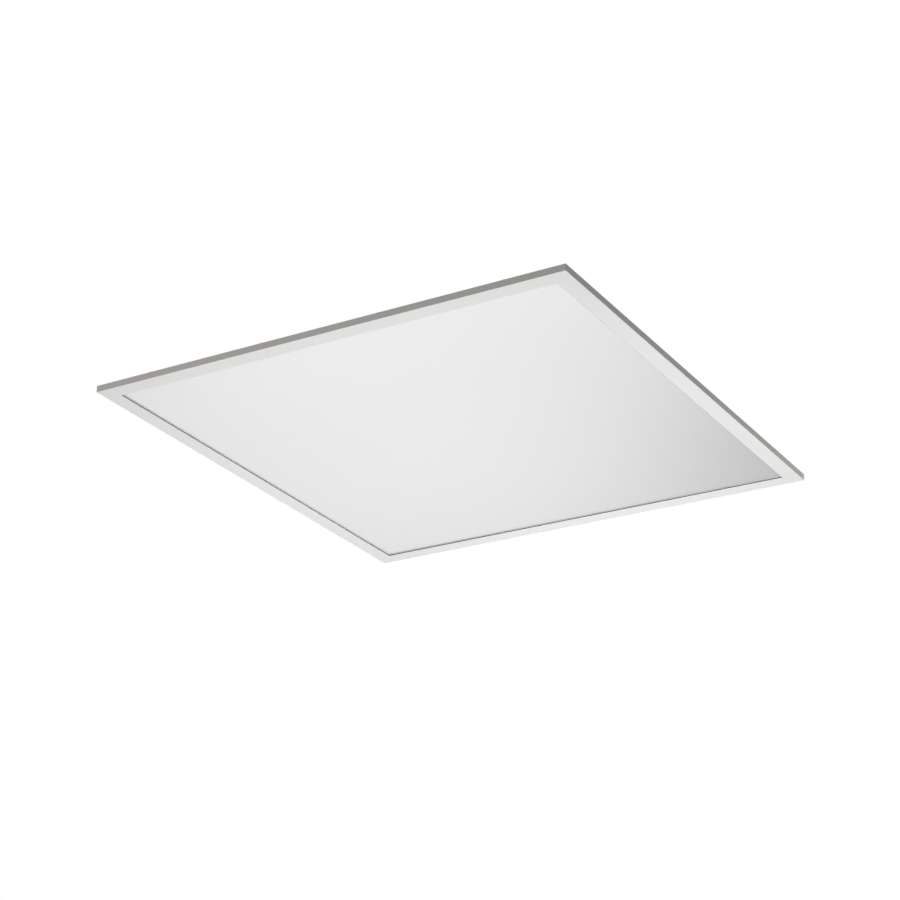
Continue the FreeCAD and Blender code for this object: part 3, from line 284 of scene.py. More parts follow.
class TrofferSizes(bpy.types.PropertyGroup):
    """Sizes of the surface detail and of the small fittings."""

    peel: length_setting("Orange peel", "Size of the ripple in the powder coat", 1.6)
    spangle: length_setting("Spangle", "Size of the crystals on galvanised steel", 5.5)
    prism: length_setting("Prism pitch", "Pitch of the diffuser's prisms", 1.3)
    ripple: length_setting("Ripple pitch", "Pitch of the diffuser's fine rows", 6.2)
    print_thickness: length_setting("Print", "Thickness of printed marks", 0.05)
    rib: length_setting("Rib", "Height of the ribs on the driver's cover", 0.5)
    tie_width: length_setting("Tie width", "Width of the nylon tie round the supply leads", 2.4)
    tie_thickness: length_setting("Tie thickness", "Thickness of the nylon tie", 0.8)


class TrofferStudio(bpy.types.PropertyGroup):
    """Camera and floor."""

    target: FloatVectorProperty(
        name="Target", description="Point that the camera looks at", subtype="TRANSLATION",
        unit="LENGTH", default=(-0.0304467, 0.0231425, 0.0),
    )
    azimuth: FloatProperty(
        name="Azimuth", description="Camera's direction round the light", subtype="ANGLE",
        default=math.radians(31.8345),
    )
    elevation: FloatProperty(
        name="Elevation", description="Camera's height angle, below the light when negative",
        subtype="ANGLE", default=math.radians(-23.9570),
    )
    roll: FloatProperty(
        name="Roll", description="Camera's turn about its own line of sight", subtype="ANGLE",
        default=math.radians(1.5876),
    )
    distance: FloatProperty(
        name="Distance", description="From the camera to its target", unit="LENGTH", default=2.65318
    )
    lens: FloatProperty(name="Lens", description="Focal length", unit="CAMERA", default=90.82)
    floor_drop: FloatProperty(
        name="Floor", description="How far the floor lies below the light", unit="LENGTH",
        default=2.6,
    )
    floor_reach: FloatProperty(
        name="Floor reach", description="Radius of the floor", unit="LENGTH", default=16.0
    )


# Finishes

# Scale that makes a texture the same at every height
FLAT = (1.0, 1.0, 0.0)


def powder_coat(name, colour):
    """Sprayed and baked paint with its orange peel, the hairline mitres of the frame and painted
    shade on the cut edge of its lip, reaching a little further onto the face of the right rail."""
    s = Finish(name)
    where = s.place()
    size = bpy.context.scene.troffer_sizes.peel
    cloud = s.noise(where, 7.0, 3.0)
    peel = s.noise(where, 1.0 / size, 1.0)
    grain = s.noise(where, 4.0 / size, 1.0)
    tone = 0.985 + cloud * 0.02 + grain * 0.012
    x, y, z = s.split(where)
    seam = abs(abs(x) - abs(y)).fall(0.02 * MM, 0.08 * MM)
    lip = -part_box("frame_rail_left")[1].x
    # Painted shade: the colour is darkened on the lip's cut edge, most below 0.8 mm, and on the
    # right rail the darkened strip reaches 0.16 mm further onto the face.
    strip = 0.16 * MM
    right = (x - abs(y)).rise(0.0, 0.1 * MM)
    rim = abs(x).at_least(abs(y)) - right * strip
    edge = rim.fall(lip + 0.04 * MM, lip + strip)
    edge = edge * (0.08 + z.fall(0.8 * MM, 1.0 * MM) * 0.88)
    # edge is the painted shade of the lip; seam darkens the mitres a little.
    tone = tone * (1.0 - seam * 0.06) * (1.0 - edge)
    rough = 0.36 + cloud * 0.08 + peel * 0.05
    height = peel * 0.75 + grain * 0.25 - seam
    return s.surface(s.shaded(colour, tone), rough, s.bump(height, 0.035 * MM), IOR=1.5)


def coil_coat(name, colour):
    """Pre-painted steel sheet with faint roller lines, dust and soft dents."""
    s = Finish(name)
    where = s.place()
    cloud = s.noise(where, 5.0, 3.0)
    rolled = s.noise(s.stretched(where, (420.0, 9.0, 60.0)), 1.0, 3.0)
    fine = s.noise(where, 1500.0, 1.0)
    dust = s.cells(where, 240.0).fall(0.03, 0.09) * s.noise(where, 18.0).rise(0.5, 0.7)
    scuff = s.noise(s.stretched(where, (30.0, 420.0, 60.0)), 1.0, 4.0).rise(0.68, 0.78)
    tone = 0.965 + cloud * 0.04 + rolled * 0.02 - dust * 0.12 - scuff * 0.012
    rough = 0.36 + cloud * 0.10 + rolled * 0.08 + dust * 0.3 + scuff * 0.1
    wave = s.noise(where, 11.0, 1.0)
    height = wave * 6.0 + rolled * 0.35 + fine * 0.25
    return s.surface(s.shaded(colour, tone), rough, s.bump(height, 0.05 * MM), IOR=1.5)


def pressed_paint(name, colour):
    """Painted sheet steel of a folded box, with rubbed spots."""
    s = Finish(name)
    where = s.place()
    cloud = s.noise(where, 12.0, 4.0)
    peel = s.noise(where, 780.0, 1.0)
    rub = s.noise(s.stretched(where, (50.0, 420.0, 420.0)), 1.0, 4.0).rise(0.66, 0.76)
    speck = s.cells(where, 330.0).fall(0.02, 0.07) * s.noise(where, 26.0).rise(0.52, 0.66)
    tone = 0.965 + cloud * 0.045 - rub * 0.018 - speck * 0.15
    rough = 0.38 + cloud * 0.12 - rub * 0.06 + peel * 0.04
    height = peel * 0.8 + s.noise(where, 16.0, 1.0) * 5.0
    return s.surface(s.shaded(colour, tone), rough, s.bump(height, 0.035 * MM), IOR=1.5)


def opal_sheet(name, colour):
    """Opal diffuser with a micro-prismatic face: fine prisms, and two sets of faint rows that
    cross at a small angle and fade towards the right. Both paint light and shade of that relief
    into the colour."""
    s = Finish(name)
    where = s.place()
    sizes = bpy.context.scene.troffer_sizes
    x, y, _ = s.split(where)
    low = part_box("diffuser")[0]
    tilt = math.radians(80.6)
    finer = sizes.ripple * 0.84
    fade = 420.0 * MM
    first = (y * (TURN / sizes.ripple)).sine()
    second = ((x * math.cos(tilt) + y * math.sin(tilt)) * (TURN / finer)).sine()
    spread = s.noise(where, 3.1, 1.0)
    strength = x.fall(low.x, low.x + fade) * 0.9 + 0.1
    rows = (first + second) * strength * (0.7 + spread * 0.6)
    prisms = (x * (TURN / sizes.prism)).sine() * (y * (TURN / sizes.prism)).sine()
    cloud = s.noise(where, 4.0, 2.0)
    # The rows and prisms lighten and darken the colour: painted light and shade of the sheet's
    # relief, strongest at the left. They also feed the bump.
    tone = 0.97 + cloud * 0.02 + rows * 0.022 + prisms * 0.018
    rough = 0.21 + rows * 0.008 + cloud * 0.02
    normal = s.bump(prisms * 4.0 + rows, 0.004 * MM)
    return s.surface(
        s.shaded(colour, tone), rough, normal,
        IOR=2.2, Coat_Weight=1.0, Coat_Roughness=0.16, Coat_IOR=2.4,
    )


def galvanised(name, colour):
    """Hot-dip galvanised sheet with its crystal spangle and fine rolling marks."""
    s = Finish(name)
    where = s.place()
    scale = 1.0 / bpy.context.scene.troffer_sizes.spangle
    wander = s.node("ShaderNodeTexNoise", inputs={"Vector": where, "Scale": 420.0}, output="Color")
    bent = s.node(
        "ShaderNodeVectorMath",
        {"operation": "MULTIPLY_ADD"},
        {0: wander, 1: grey(1.6 * MM), 2: where},
    )
    crystal = s.split(s.cells(bent, scale, "Color"))[0]
    small = s.split(s.cells(bent, scale * 2.6, "Color"))[1]
    edge = s.cells(bent, scale, feature="DISTANCE_TO_EDGE").fall(0.0, 0.05)
    lines = s.noise(s.stretched(where, (1400.0, 60.0, 60.0)), 1.0, 2.0)
    tone = 0.72 + crystal * 0.28 + small * 0.10 - edge * 0.06 + lines * 0.04
    rough = 0.30 + crystal * 0.16 + small * 0.08 + lines * 0.06
    height = crystal * 0.5 + small * 0.3 + lines * 0.3
    return s.surface(s.shaded(colour, tone), rough, s.bump(height, 0.02 * MM), Metallic=1.0)


def bright_metal(name, colour, roughness=0.28):
    """Plated or turned metal with fine tool marks and slight tarnish."""
    s = Finish(name)
    where = s.place()
    tarnish = s.noise(where, 160.0, 3.0)
    grain = s.noise(s.stretched(where, (900.0, 900.0, 7000.0)), 1.0, 2.0)
    pit = s.cells(where, 1400.0).fall(0.05, 0.2)
    tone = 0.86 + tarnish * 0.16 + grain * 0.05 - pit * 0.1
    rough = roughness + tarnish * 0.12 + grain * 0.06
    height = grain * 0.6 - pit * 0.5
    return s.surface(s.shaded(colour, tone), rough, s.bump(height, 0.012 * MM), Metallic=1.0)


def moulded(name, colour, roughness, grain=1500.0):
    """Moulded plastic with a spark-eroded grain and faint flow marks."""
    s = Finish(name)
    where = s.place()
    texture = s.noise(where, grain, 2.0)
    flow = s.noise(s.stretched(where, (60.0, 180.0, 90.0)), 1.0, 2.0)
    scratch = s.noise(s.stretched(where, (60.0, 2600.0, 400.0)), 1.0, 2.0).rise(0.68, 0.76)
    tone = 0.93 + flow * 0.10 + texture * 0.04 + scratch * 0.05
    rough = roughness + texture * 0.10 + flow * 0.05 - scratch * 0.06
    return s.surface(s.shaded(colour, tone), rough, s.bump(texture, 0.015 * MM), IOR=1.49)


def sheathed(name, colour, stripe=None):
    """Extruded plastic sheath of a wire. A stripe runs along it and wanders a little."""
    s = Finish(name)
    where = s.place()
    drawn = s.noise(where, 900.0, 2.0)
    cloud = s.noise(where, 70.0, 2.0)
    tone = 0.9 + cloud * 0.12 + drawn * 0.06
    base = s.shaded(colour, tone)
    if stripe is not None:
        facing = s.split(s.node("ShaderNodeTexCoord", output="Normal"))[2]
        x, y, _ = s.split(where)
        wander = ((x + y) * 260.0).sine() * 0.2
        mask = abs(facing - 0.45 + wander).fall(0.28, 0.34)
        base = s.blend(mask, base, s.shaded(stripe, tone))
    rough = 0.36 + drawn * 0.08 + cloud * 0.05
    return s.surface(base, rough, s.bump(drawn, 0.02 * MM), IOR=1.5)


def reflector_film(name, colour):
    """Micro-voided white film: bright, pearly and slightly cloudy."""
    s = Finish(name)
    where = s.place()
    pearl = s.noise(where, 900.0, 2.0)
    cloud = s.noise(where, 14.0, 2.0)
    tone = 0.96 + cloud * 0.03 + pearl * 0.02
    return s.surface(
        s.shaded(colour, tone), 0.30 + pearl * 0.1, s.bump(pearl, 0.004 * MM), Coat_Weight=0.3
    )


def foam(name, colour):
    """Open foam with cells about half a millimetre across."""
    s = Finish(name)
    where = s.place()
    cell = s.cells(where, 2100.0)
    large = s.cells(where, 700.0)
    # The colour is darkest in the middle of each cell, where the bump sinks a pit: painted shade in
    # the pores.
    tone = 0.62 + cell * 0.5 + large * 0.2
    return s.surface(s.shaded(colour, tone), 0.92 - cell * 0.05, s.bump(cell + large, 0.2 * MM))


def clear_guide(name, colour):
    """Clear acrylic light guide with a grid of printed white dots."""
    s = Finish(name)
    where = s.place()
    dots = s.cells(s.stretched(where, FLAT), 480.0).fall(0.22, 0.30)
    base = s.blend(dots, colour, grey(0.9))
    ripple = s.noise(where, 120.0, 1.0)
    return s.surface(
        base, 0.06 + dots * 0.5, s.bump(ripple, 0.01 * MM), IOR=1.49, Transmission_Weight=0.85
    )


def circuit(name, mask, track):
    """Circuit board: solder mask over tracks, with the weave of the laminate in its bump."""
    s = Finish(name)
    where = s.place()
    x, y, _ = s.split(where)
    step = 2.2 * MM
    snapped = s.node(
        "ShaderNodeVectorMath", {"operation": "SNAP"}, {0: where, 1: (step, step, 1.0)}
    )
    route = s.noise(s.stretched(snapped, FLAT), 260.0, 0.0)
    tracks = abs(route - 0.5).fall(0.035, 0.05)
    pads = s.cells(s.stretched(where, FLAT), 230.0).fall(0.10, 0.13)
    weave = (x * 9000.0).sine() * (y * 9000.0).sine()
    base = s.blend(tracks * 0.8, mask, track)
    base = s.blend(pads, base, (0.75, 0.73, 0.68))
    rough = 0.34 + tracks * 0.06 - pads * 0.1
    height = tracks + pads * 0.8 + weave * 0.05
    return s.surface(base, rough, s.bump(height, 0.03 * MM), IOR=1.55)


def diode_row(name, white, phosphor):
    """White diode packages with a yellow phosphor window in the middle of each face."""
    s = Finish(name)
    where = s.place()
    _, y, z = s.split(where)
    low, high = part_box("light_diodes_left")
    count = 56
    width = 3.5 * MM
    pitch = (high.y - low.y - width) / (count - 1)
    start = 0.5 * (1.0 - width / pitch)
    across = abs(((y - low.y) / pitch + start).fraction() - 0.5) * pitch
    up = abs(z - (low.z + high.z) / 2)
    window = across.fall(1.25 * MM, 1.35 * MM) * up.fall(0.8 * MM, 0.9 * MM)
    grain = s.noise(where, 3000.0, 1.0)
    base = s.blend(window, white, phosphor)
    tone = 0.94 + grain * 0.08
    return s.surface(s.shaded(base, tone), 0.35 + grain * 0.1, s.bump(grain - window, 0.03 * MM))


def windings(name, colour, pitch, ring=None):
    """Enamelled wire or tape wound in even turns, round a coil former or through the ring of the
    node that is named."""
    s = Finish(name)
    where = s.place()
    x, y, z = s.split(where)
    if ring:
        low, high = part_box(ring)
        middle = (low + high) / 2
        count = round(math.pi * (high.x - low.x) / pitch)
        turns = ((y - middle.y).angle(x - middle.x) * count).sine()
    else:
        turns = (z * (TURN / pitch)).sine()
    grain = s.noise(where, 700.0, 2.0)
    # The turns also lighten and darken the colour: a painted highlight on each turn and painted
    # shade in the groove between turns.
    tone = 0.78 + turns * 0.14 + grain * 0.12
    rough = 0.34 + grain * 0.1
    return s.surface(s.shaded(colour, tone), rough, s.bump(turns, 0.08 * MM), Coat_Weight=0.4)


def ferrite(name, colour):
    """Sintered ferrite: dark, matt and slightly chipped."""
    s = Finish(name)
    where = s.place()
    grain = s.noise(where, 2200.0, 3.0)
    chip = s.cells(where, 300.0).fall(0.05, 0.12)
    tone = 0.8 + grain * 0.35 + chip * 0.3
    return s.surface(s.shaded(colour, tone), 0.62 + grain * 0.15, s.bump(grain - chip, 0.05 * MM))


def capacitor_sleeve(name, colour, metal):
    """Dark sleeve over an aluminium can whose top is bare."""
    s = Finish(name)
    where = s.place()
    facing = s.split(s.node("ShaderNodeTexCoord", output="Normal"))[2]
    top = facing.rise(0.75, 0.85)
    grain = s.noise(where, 900.0, 2.0)
    base = s.blend(top, s.shaded(colour, 0.9 + grain * 0.2), metal)
    return s.surface(base, 0.32 + grain * 0.1, s.bump(grain, 0.02 * MM), Metallic=top)


def make_finishes():
    """Every finish, under the name of its material slot in the record."""
    c = bpy.context.scene.troffer_colours
    return {
        "frame_white": powder_coat("frame_powder_coat", c.frame),
        "diffuser_opal": opal_sheet("diffuser_opal", c.diffuser),
        "light_guide_clear": clear_guide("guide_acrylic", (0.95, 0.97, 0.96)),
        "reflector_white": reflector_film("reflector_film", (0.88, 0.88, 0.87)),
        "foam_grey": foam("foam_pad", (0.20, 0.20, 0.21)),
        "back_white": coil_coat("back_coil_coat", c.back),
        "tray_steel": pressed_paint("driver_box_paint", c.box),
        "bracket_zinc": galvanised("bracket_galvanised", c.zinc),
        "fastener_zinc": bright_metal("fastener_zinc", c.bright_zinc),
        "rivet_aluminium": bright_metal("rivet_aluminium", c.aluminium, 0.34),
        "key_steel": bright_metal("key_steel", c.steel, 0.4),
        "light_board_white": circuit("light_board", (0.80, 0.80, 0.78), (0.70, 0.70, 0.66)),
        "diode_yellow": diode_row("diode_packages", (0.82, 0.82, 0.79), (0.80, 0.58, 0.08)),
        "tape_dark": moulded("adhesive_tape", (0.05, 0.05, 0.055), 0.5),
        "socket_white": moulded("socket_nylon", (0.74, 0.73, 0.68), 0.42),
        "lead_black": sheathed("lead_black", (0.02, 0.02, 0.021)),
        "lead_red": sheathed("lead_red", c.red_lead),
        "grommet_black": moulded("grommet_rubber", c.dark, 0.55, 900.0),
        "driver_base_steel": galvanised("driver_base", c.steel),
        "driver_cover_white": pressed_paint("driver_cover_paint", c.driver),
        "circuit_green": circuit("driver_board", (0.02, 0.13, 0.045), (0.03, 0.22, 0.08)),
        "terminal_plastic": moulded("terminal_plastic", (0.55, 0.56, 0.55), 0.38),
        "ferrite_dark": ferrite("ferrite_core", (0.05, 0.048, 0.047)),
        "winding_tape": windings("winding_tape", (0.72, 0.52, 0.06), 1.2 * MM),
        "choke_copper": windings("choke_enamel", (0.50, 0.16, 0.05), 0.9 * MM, "driver_choke"),
        "capacitor_sleeve": capacitor_sleeve("capacitor_sleeve", (0.02, 0.022, 0.03), grey(0.8)),
        "selector_black": moulded("selector_body", c.dark, 0.36),
        "knob_white": moulded("selector_knob", (0.78, 0.78, 0.76), 0.36),
        "block_grey": moulded("block_polyamide", c.block, 0.42),
        "lever_orange": moulded("lever_polyamide", c.lever, 0.36),
        "lug_tin": bright_metal("lug_tin", (0.66, 0.66, 0.64), 0.36),
        "earth_screw_zinc": bright_metal("earth_screw", (0.74, 0.70, 0.56), 0.26),
        "wire_green_yellow": sheathed("wire_earth", c.earth_green, c.earth_yellow),
        "wire_brown": sheathed("wire_brown", c.brown_wire),
        "wire_blue": sheathed("wire_blue", c.blue_wire),
    }


FINISHES = {}


def finish(slot):
    """The finish of a material slot. The first call makes them all."""
    if not FINISHES:
        FINISHES.update(make_finishes())
    return FINISHES[slot]


def dress(*names):
    """Gives each CAD node the finish of its material slot in the record."""
    slots = {part["node"]: part["material_slot"] for part in FRAME["record"]["subparts"]}
    for name in names:
        node = FRAME["nodes"][name]
        material = finish(slots[name])
        if not node.material_slots:
            node.data.materials.append(material)
        for material_slot in node.material_slots:
            material_slot.material = material


# Mesh helpers


def linked(name, data):
    """A new object in the scene's collection."""
    made = bpy.data.objects.new(name, data)
    bpy.context.scene.collection.objects.link(made)
    return made


def mesh_object(name, fill, material):
    """A new object whose mesh a function fills as a bmesh."""
    mesh = bpy.data.meshes.new(name)
    bm = bmesh.new()
    fill(bm)
    bm.to_mesh(mesh)
    bm.free()
    mesh.materials.append(material)
    return linked(name, mesh)


def add_piece(name, fill, slot, body="light"):
    """A new piece of the light, in its slot's finish, riding on a body."""

    def fill_outward(bm):
        fill(bm)
        bmesh.ops.recalc_face_normals(bm, faces=bm.faces)

    made = mesh_object(name, fill_outward, finish(slot))
    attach(made, body)


def add_box(bm, low, high, bevel):
    """A box between two corners, with its edges rounded."""
    low = Vector(low)
    high = Vector(high)
    made = bmesh.ops.create_cube(bm, size=1.0)
    matrix = Matrix.Translation((low + high) / 2) @ Matrix.Diagonal((*(high - low), 1.0))
    bmesh.ops.transform(bm, matrix=matrix, verts=made["verts"])
    edges = {edge for vert in made["verts"] for edge in vert.link_edges}
    bmesh.ops.bevel(bm, geom=list(edges), offset=bevel, segments=3, affect="EDGES", profile=0.5)


def add_prism(bm, outline, bottom, height):
    """A flat piece with upright sides on an outline of (x, y) points."""
    rings = [[bm.verts.new((x, y, z)) for x, y in outline] for z in (bottom, bottom + height)]
    bm.faces.new(rings[0][::-1])
    bm.faces.new(rings[1])
    for i in range(len(outline)):
        after = (i + 1) % len(outline)
        bm.faces.new((rings[0][i], rings[0][after], rings[1][after], rings[1][i]))


def on_circle(centre, radius, degrees):
    """The point of a circle at an angle."""
    angle = math.radians(degrees)
    return centre[0] + radius * math.cos(angle), centre[1] + radius * math.sin(angle)


def arc(centre, radius, start, end, steps=16):
    """Points along an arc, its angles in degrees."""
    return [on_circle(centre, radius, start + (end - start) * i / steps) for i in range(steps + 1)]


def band(centre, radius, width, start, end, steps=16):
    """Outline of a bent strip of that width, its angles in degrees."""
    outer = arc(centre, radius + width / 2, start, end, steps)
    return outer + arc(centre, radius - width / 2, end, start, steps)


def rectangle(centre, width, height):
    """Corners of a rectangle, its width along X."""
    x, y = centre
    return [
        (x - width / 2, y - height / 2), (x + width / 2, y - height / 2),
        (x + width / 2, y + height / 2), (x - width / 2, y + height / 2),
    ]


def add_text(bm, text, size, centre, bottom, height):
    """Raised lettering that lies flat and is turned half round, to read from behind the light."""
    curve = bpy.data.curves.new("lettering", "FONT")
    curve.body = text
    curve.size = size
    curve.extrude = height / 2
    curve.align_x = "CENTER"
    curve.align_y = "CENTER"
    curve.resolution_u = 6
    holder = linked("lettering", curve)
    bpy.context.view_layer.update()
    evaluated = holder.evaluated_get(bpy.context.evaluated_depsgraph_get())
    mesh = bpy.data.meshes.new_from_object(evaluated)
    place = Matrix.Translation((centre[0], centre[1], bottom + height / 2))
    mesh.transform(place @ Matrix.Rotation(math.pi, 4, "Z"))
    bm.from_mesh(mesh)
    bpy.data.objects.remove(holder)
    bpy.data.curves.remove(curve)
    bpy.data.meshes.remove(mesh)


def box_middle(node):
    """Middle of a CAD node's box, as (x, y, z)."""
    low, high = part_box(node)
    return [(a + b) / 2 for a, b in zip(low, high)]


def section_middle(node, y):
    """Middle of a CAD node's cross-section at y, as (x, z)."""
    mesh = FRAME["nodes"][node].data
    points = []
    for edge in mesh.edges:
        a, b = (mesh.vertices[i].co for i in edge.vertices)
        if (a.y - y) * (b.y - y) < 0:
            points.append(a.lerp(b, (y - a.y) / (b.y - a.y)))
    x = (min(p.x for p in points) + max(p.x for p in points)) / 2
    z = (min(p.z for p in points) + max(p.z for p in points)) / 2
    return x, z


# Operators


class TROFFER_OT_dress_frame(bpy.types.Operator):
    """Powder coat on the frame rails, steel corner keys and their screws"""

    bl_idname = "troffer.dress_frame"
    bl_label = "Frame"

    def execute(self, context):
        dress("frame_rail_front", "frame_rail_rear", "frame_rail_left", "frame_rail_right")
        dress("corner_keys", "corner_key_screws")
        return {"FINISHED"}


class TROFFER_OT_dress_layers(bpy.types.Operator):
    """Diffuser, light guide, reflector sheet and foam pad"""

    bl_idname = "troffer.dress_layers"
    bl_label = "Diffuser and layers"

    def execute(self, context):
        dress("diffuser", "light_guide", "reflector_sheet", "foam_pad")
        return {"FINISHED"}


class TROFFER_OT_dress_lighting(bpy.types.Operator):
    """Light boards, diodes, tapes, sockets and leads"""

    bl_idname = "troffer.dress_lighting"
    bl_label = "Edge lighting"

    def execute(self, context):
        dress("light_board_left", "light_board_right", "light_diodes_left", "light_diodes_right")
        dress("light_tapes", "light_sockets", "light_link_lead")
        return {"FINISHED"}


class TROFFER_OT_dress_back(bpy.types.Operator):
    """Back plate with its screws, hanger brackets and grid clips"""

    bl_idname = "troffer.dress_back"
    bl_label = "Back plate and brackets"

    def execute(self, context):
        dress("back_plate", "back_plate_screws", "hanger_rivets", "clip_pivots")
        for place in ("front_left", "front_right", "rear_left", "rear_right"):
            dress("hanger_bracket_" + place, "grid_clip_" + place)
        return {"FINISHED"}


class TROFFER_OT_dress_box(bpy.types.Operator):
    """Driver box: tray, entry plate, lid, hinge pins, latch and rivets"""

    bl_idname = "troffer.dress_box"
    bl_label = "Driver box"

    def execute(self, context):
        dress("driver_tray", "cable_entry_plate", "latch_bracket", "driver_lid", "lid_latch")
        dress("lid_hinge_pins", "tray_rivets", "lead_grommet")
        return {"FINISHED"}


class TROFFER_OT_dress_driver(bpy.types.Operator):
    """Driver with its case, cover, board, parts, terminals and selector"""

    bl_idname = "troffer.dress_driver"
    bl_label = "Driver"

    def execute(self, context):
        dress("driver_case", "driver_cover", "driver_circuit_board", "driver_screws")
        dress("driver_transformer_core", "driver_transformer_winding", "driver_choke")
        dress("driver_capacitors", "driver_input_terminal", "driver_output_terminal")
        dress("selector_body", "selector_knob")
        return {"FINISHED"}


class TROFFER_OT_dress_wiring(bpy.types.Operator):
    """Terminal block, levers, wires, earth screw and supply leads"""

    bl_idname = "troffer.dress_wiring"
    bl_label = "Wiring"

    def execute(self, context):
        dress("terminal_block", "terminal_lever_1", "terminal_lever_2", "terminal_lever_3")
        dress("mains_wire_live", "mains_wire_neutral", "earth_wire", "earth_lug", "earth_screw")
        dress("supply_lead_left", "supply_lead_right")
        return {"FINISHED"}


class TROFFER_OT_print_block_marks(bpy.types.Operator):
    """Live, neutral and earth marks on the terminal block, and a ringed earth mark by its screw"""

    bl_idname = "troffer.print_block_marks"
    bl_label = "Terminal marks"

    def execute(self, context):
        thick = context.scene.troffer_sizes.print_thickness
        letter = 5.0 * MM
        symbol = 4.4 * MM
        block_low, block_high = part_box("terminal_block")
        levers = [f"terminal_lever_{i}" for i in (1, 2, 3)]
        rows = [box_middle(lever)[1] for lever in levers]
        middle = (block_low.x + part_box(levers[0])[0].x) / 2

        def letters(bm):
            for text, y in zip("LN", rows):
                add_text(bm, text, letter, (middle, y), block_high.z, thick)
            self.earth_symbol(bm, (middle, rows[2]), symbol, block_high.z, thick)

        add_piece("terminal_block_marks", letters, "knob_white")
        low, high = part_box("earth_screw")
        place = (high.x + 7.0 * MM, box_middle("earth_screw")[1])
        ringed_symbol = 5.5 * MM
        ring_radius = 4.6 * MM
        ring_line = 0.45 * MM

        def ringed(bm):
            self.earth_symbol(bm, place, ringed_symbol, low.z, thick)
            for start in (0, 180):
                half = band(place, ring_radius, ring_line, start, start + 180, 24)
                add_prism(bm, half, low.z, thick)

        add_piece("earth_mark", ringed, "selector_black")
        return {"FINISHED"}

    def earth_symbol(self, bm, centre, size, bottom, thick):
        """An upright stroke over three bars that get shorter, read from behind the light."""
        x, y = centre
        line = size * 0.11
        stem = size * 0.5
        spacing = size * 0.22
        strokes = [((x, y + stem / 2), line, stem)]
        for i, length in enumerate((1.0, 0.62, 0.26)):
            strokes.append(((x, y - spacing * i - line / 2), size * length, line))
        for (across, up), width, height in strokes:
            turned = (2 * x - across, 2 * y - up)
            add_prism(bm, rectangle(turned, width, height), bottom, thick)


class TROFFER_OT_print_latch_marks(bpy.types.Operator):
    """Open and closed padlocks and the arrow between them, round the lid's quarter-turn latch"""

    bl_idname = "troffer.print_latch_marks"
    bl_label = "Latch marks"

    def execute(self, context):
        thick = context.scene.troffer_sizes.print_thickness
        low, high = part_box("lid_latch")
        centre = box_middle("lid_latch")[:2]
        radius = (high.x - low.x) / 2
        lid_top = 41.0 * MM
        line = 0.6 * MM
        sweep = radius + 3.2 * MM
        head_width = 3.0 * MM
        arrow_start, head_start, arrow_end = 14, 70, 84
        tick_start = radius + 1.6 * MM
        tick_end = radius + 4.8 * MM
        open_place = radius + 9.0 * MM
        shut_place = radius + 8.6 * MM

        def marks(bm):
            shaft = band(centre, sweep, line, arrow_start, head_start)
            head = [
                on_circle(centre, sweep + head_width / 2, head_start),
                on_circle(centre, sweep, arrow_end),
                on_circle(centre, sweep - head_width / 2, head_start),
            ]
            for outline in (shaft, head):
                add_prism(bm, outline, lid_top, thick)
            length = tick_end - tick_start
            for angle, size in ((0, (length, line)), (90, (line, length))):
                place = on_circle(centre, (tick_start + tick_end) / 2, angle)
                add_prism(bm, rectangle(place, *size), lid_top, thick)
            self.padlock(bm, (centre[0] + open_place, centre[1]), True, lid_top, thick)
            self.padlock(bm, (centre[0], centre[1] + shut_place), False, lid_top, thick)

        add_piece("latch_marks", marks, "selector_black", "lid")
        return {"FINISHED"}

    def padlock(self, bm, centre, is_open, bottom, thick):
        """A padlock, upright when read from behind the light. The open one's shackle is swung
        aside and has one leg."""
        x, y = centre
        width = 4.2 * MM
        height = 3.0 * MM
        bow = 1.3 * MM
        line = 0.55 * MM
        leg = 1.2 * MM
        aside = width * 0.62 if is_open else 0.0
        add_prism(bm, rectangle((x, y + 1.2 * MM), width, height), bottom, thick)
        add_prism(bm, band((x + aside, y - 1.5 * MM), bow, line, 180, 360), bottom, thick)
        for side in (-1,) if is_open else (-1, 1):
            place = (x + aside + side * bow, y - 0.9 * MM)
            add_prism(bm, rectangle(place, line, leg), bottom, thick)


class TROFFER_OT_add_cover_detail(bpy.types.Operator):
    """Grip ribs and printed terminal and selector marks on the driver's cover"""

    bl_idname = "troffer.add_cover_detail"
    bl_label = "Driver cover detail"

    def execute(self, context):
        sizes = context.scene.troffer_sizes
        thick = sizes.print_thickness
        low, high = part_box("driver_cover")
        middle = box_middle("driver_cover")[1]
        top = high.z
        margin = 5.0 * MM
        rib_count = 5
        rib_width = 1.2 * MM
        rib_pitch = 2.6 * MM
        sunk = 0.1 * MM
        inset = 20.5 * MM
        knob_travel = 5.0 * MM

        def ribs(bm):
            for i in range(rib_count):
                for x in (low.x + margin + i * rib_pitch, high.x - margin - i * rib_pitch):
                    near = (x - rib_width / 2, low.y + margin, top - sunk)
                    far = (x + rib_width / 2, high.y - margin, top + sizes.rib)
                    add_box(bm, near, far, 0.2 * MM)

        def prints(bm):
            for text, size, x, aside in (
                ("L", 4.0 * MM, high.x - inset, -5.0 * MM),
                ("N", 4.0 * MM, high.x - inset, 5.0 * MM),
                ("+", 4.6 * MM, low.x + inset, -4.0 * MM),
                ("-", 4.6 * MM, low.x + inset, 4.0 * MM),
            ):
                add_text(bm, text, size, (x, middle + aside), top, thick)
            first = box_middle("selector_knob")[0]
            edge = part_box("selector_body")[1].y
            for i in range(2):
                x = first + i * knob_travel
                tick = rectangle((x, edge + 1.4 * MM), 0.35 * MM, 1.6 * MM)
                add_prism(bm, tick, top, thick)
                add_text(bm, str(i + 1), 3.2 * MM, (x, edge + 4.0 * MM), top, thick)

        add_piece("driver_cover_ribs", ribs, "driver_cover_white")
        add_piece("driver_cover_prints", prints, "selector_black")
        return {"FINISHED"}


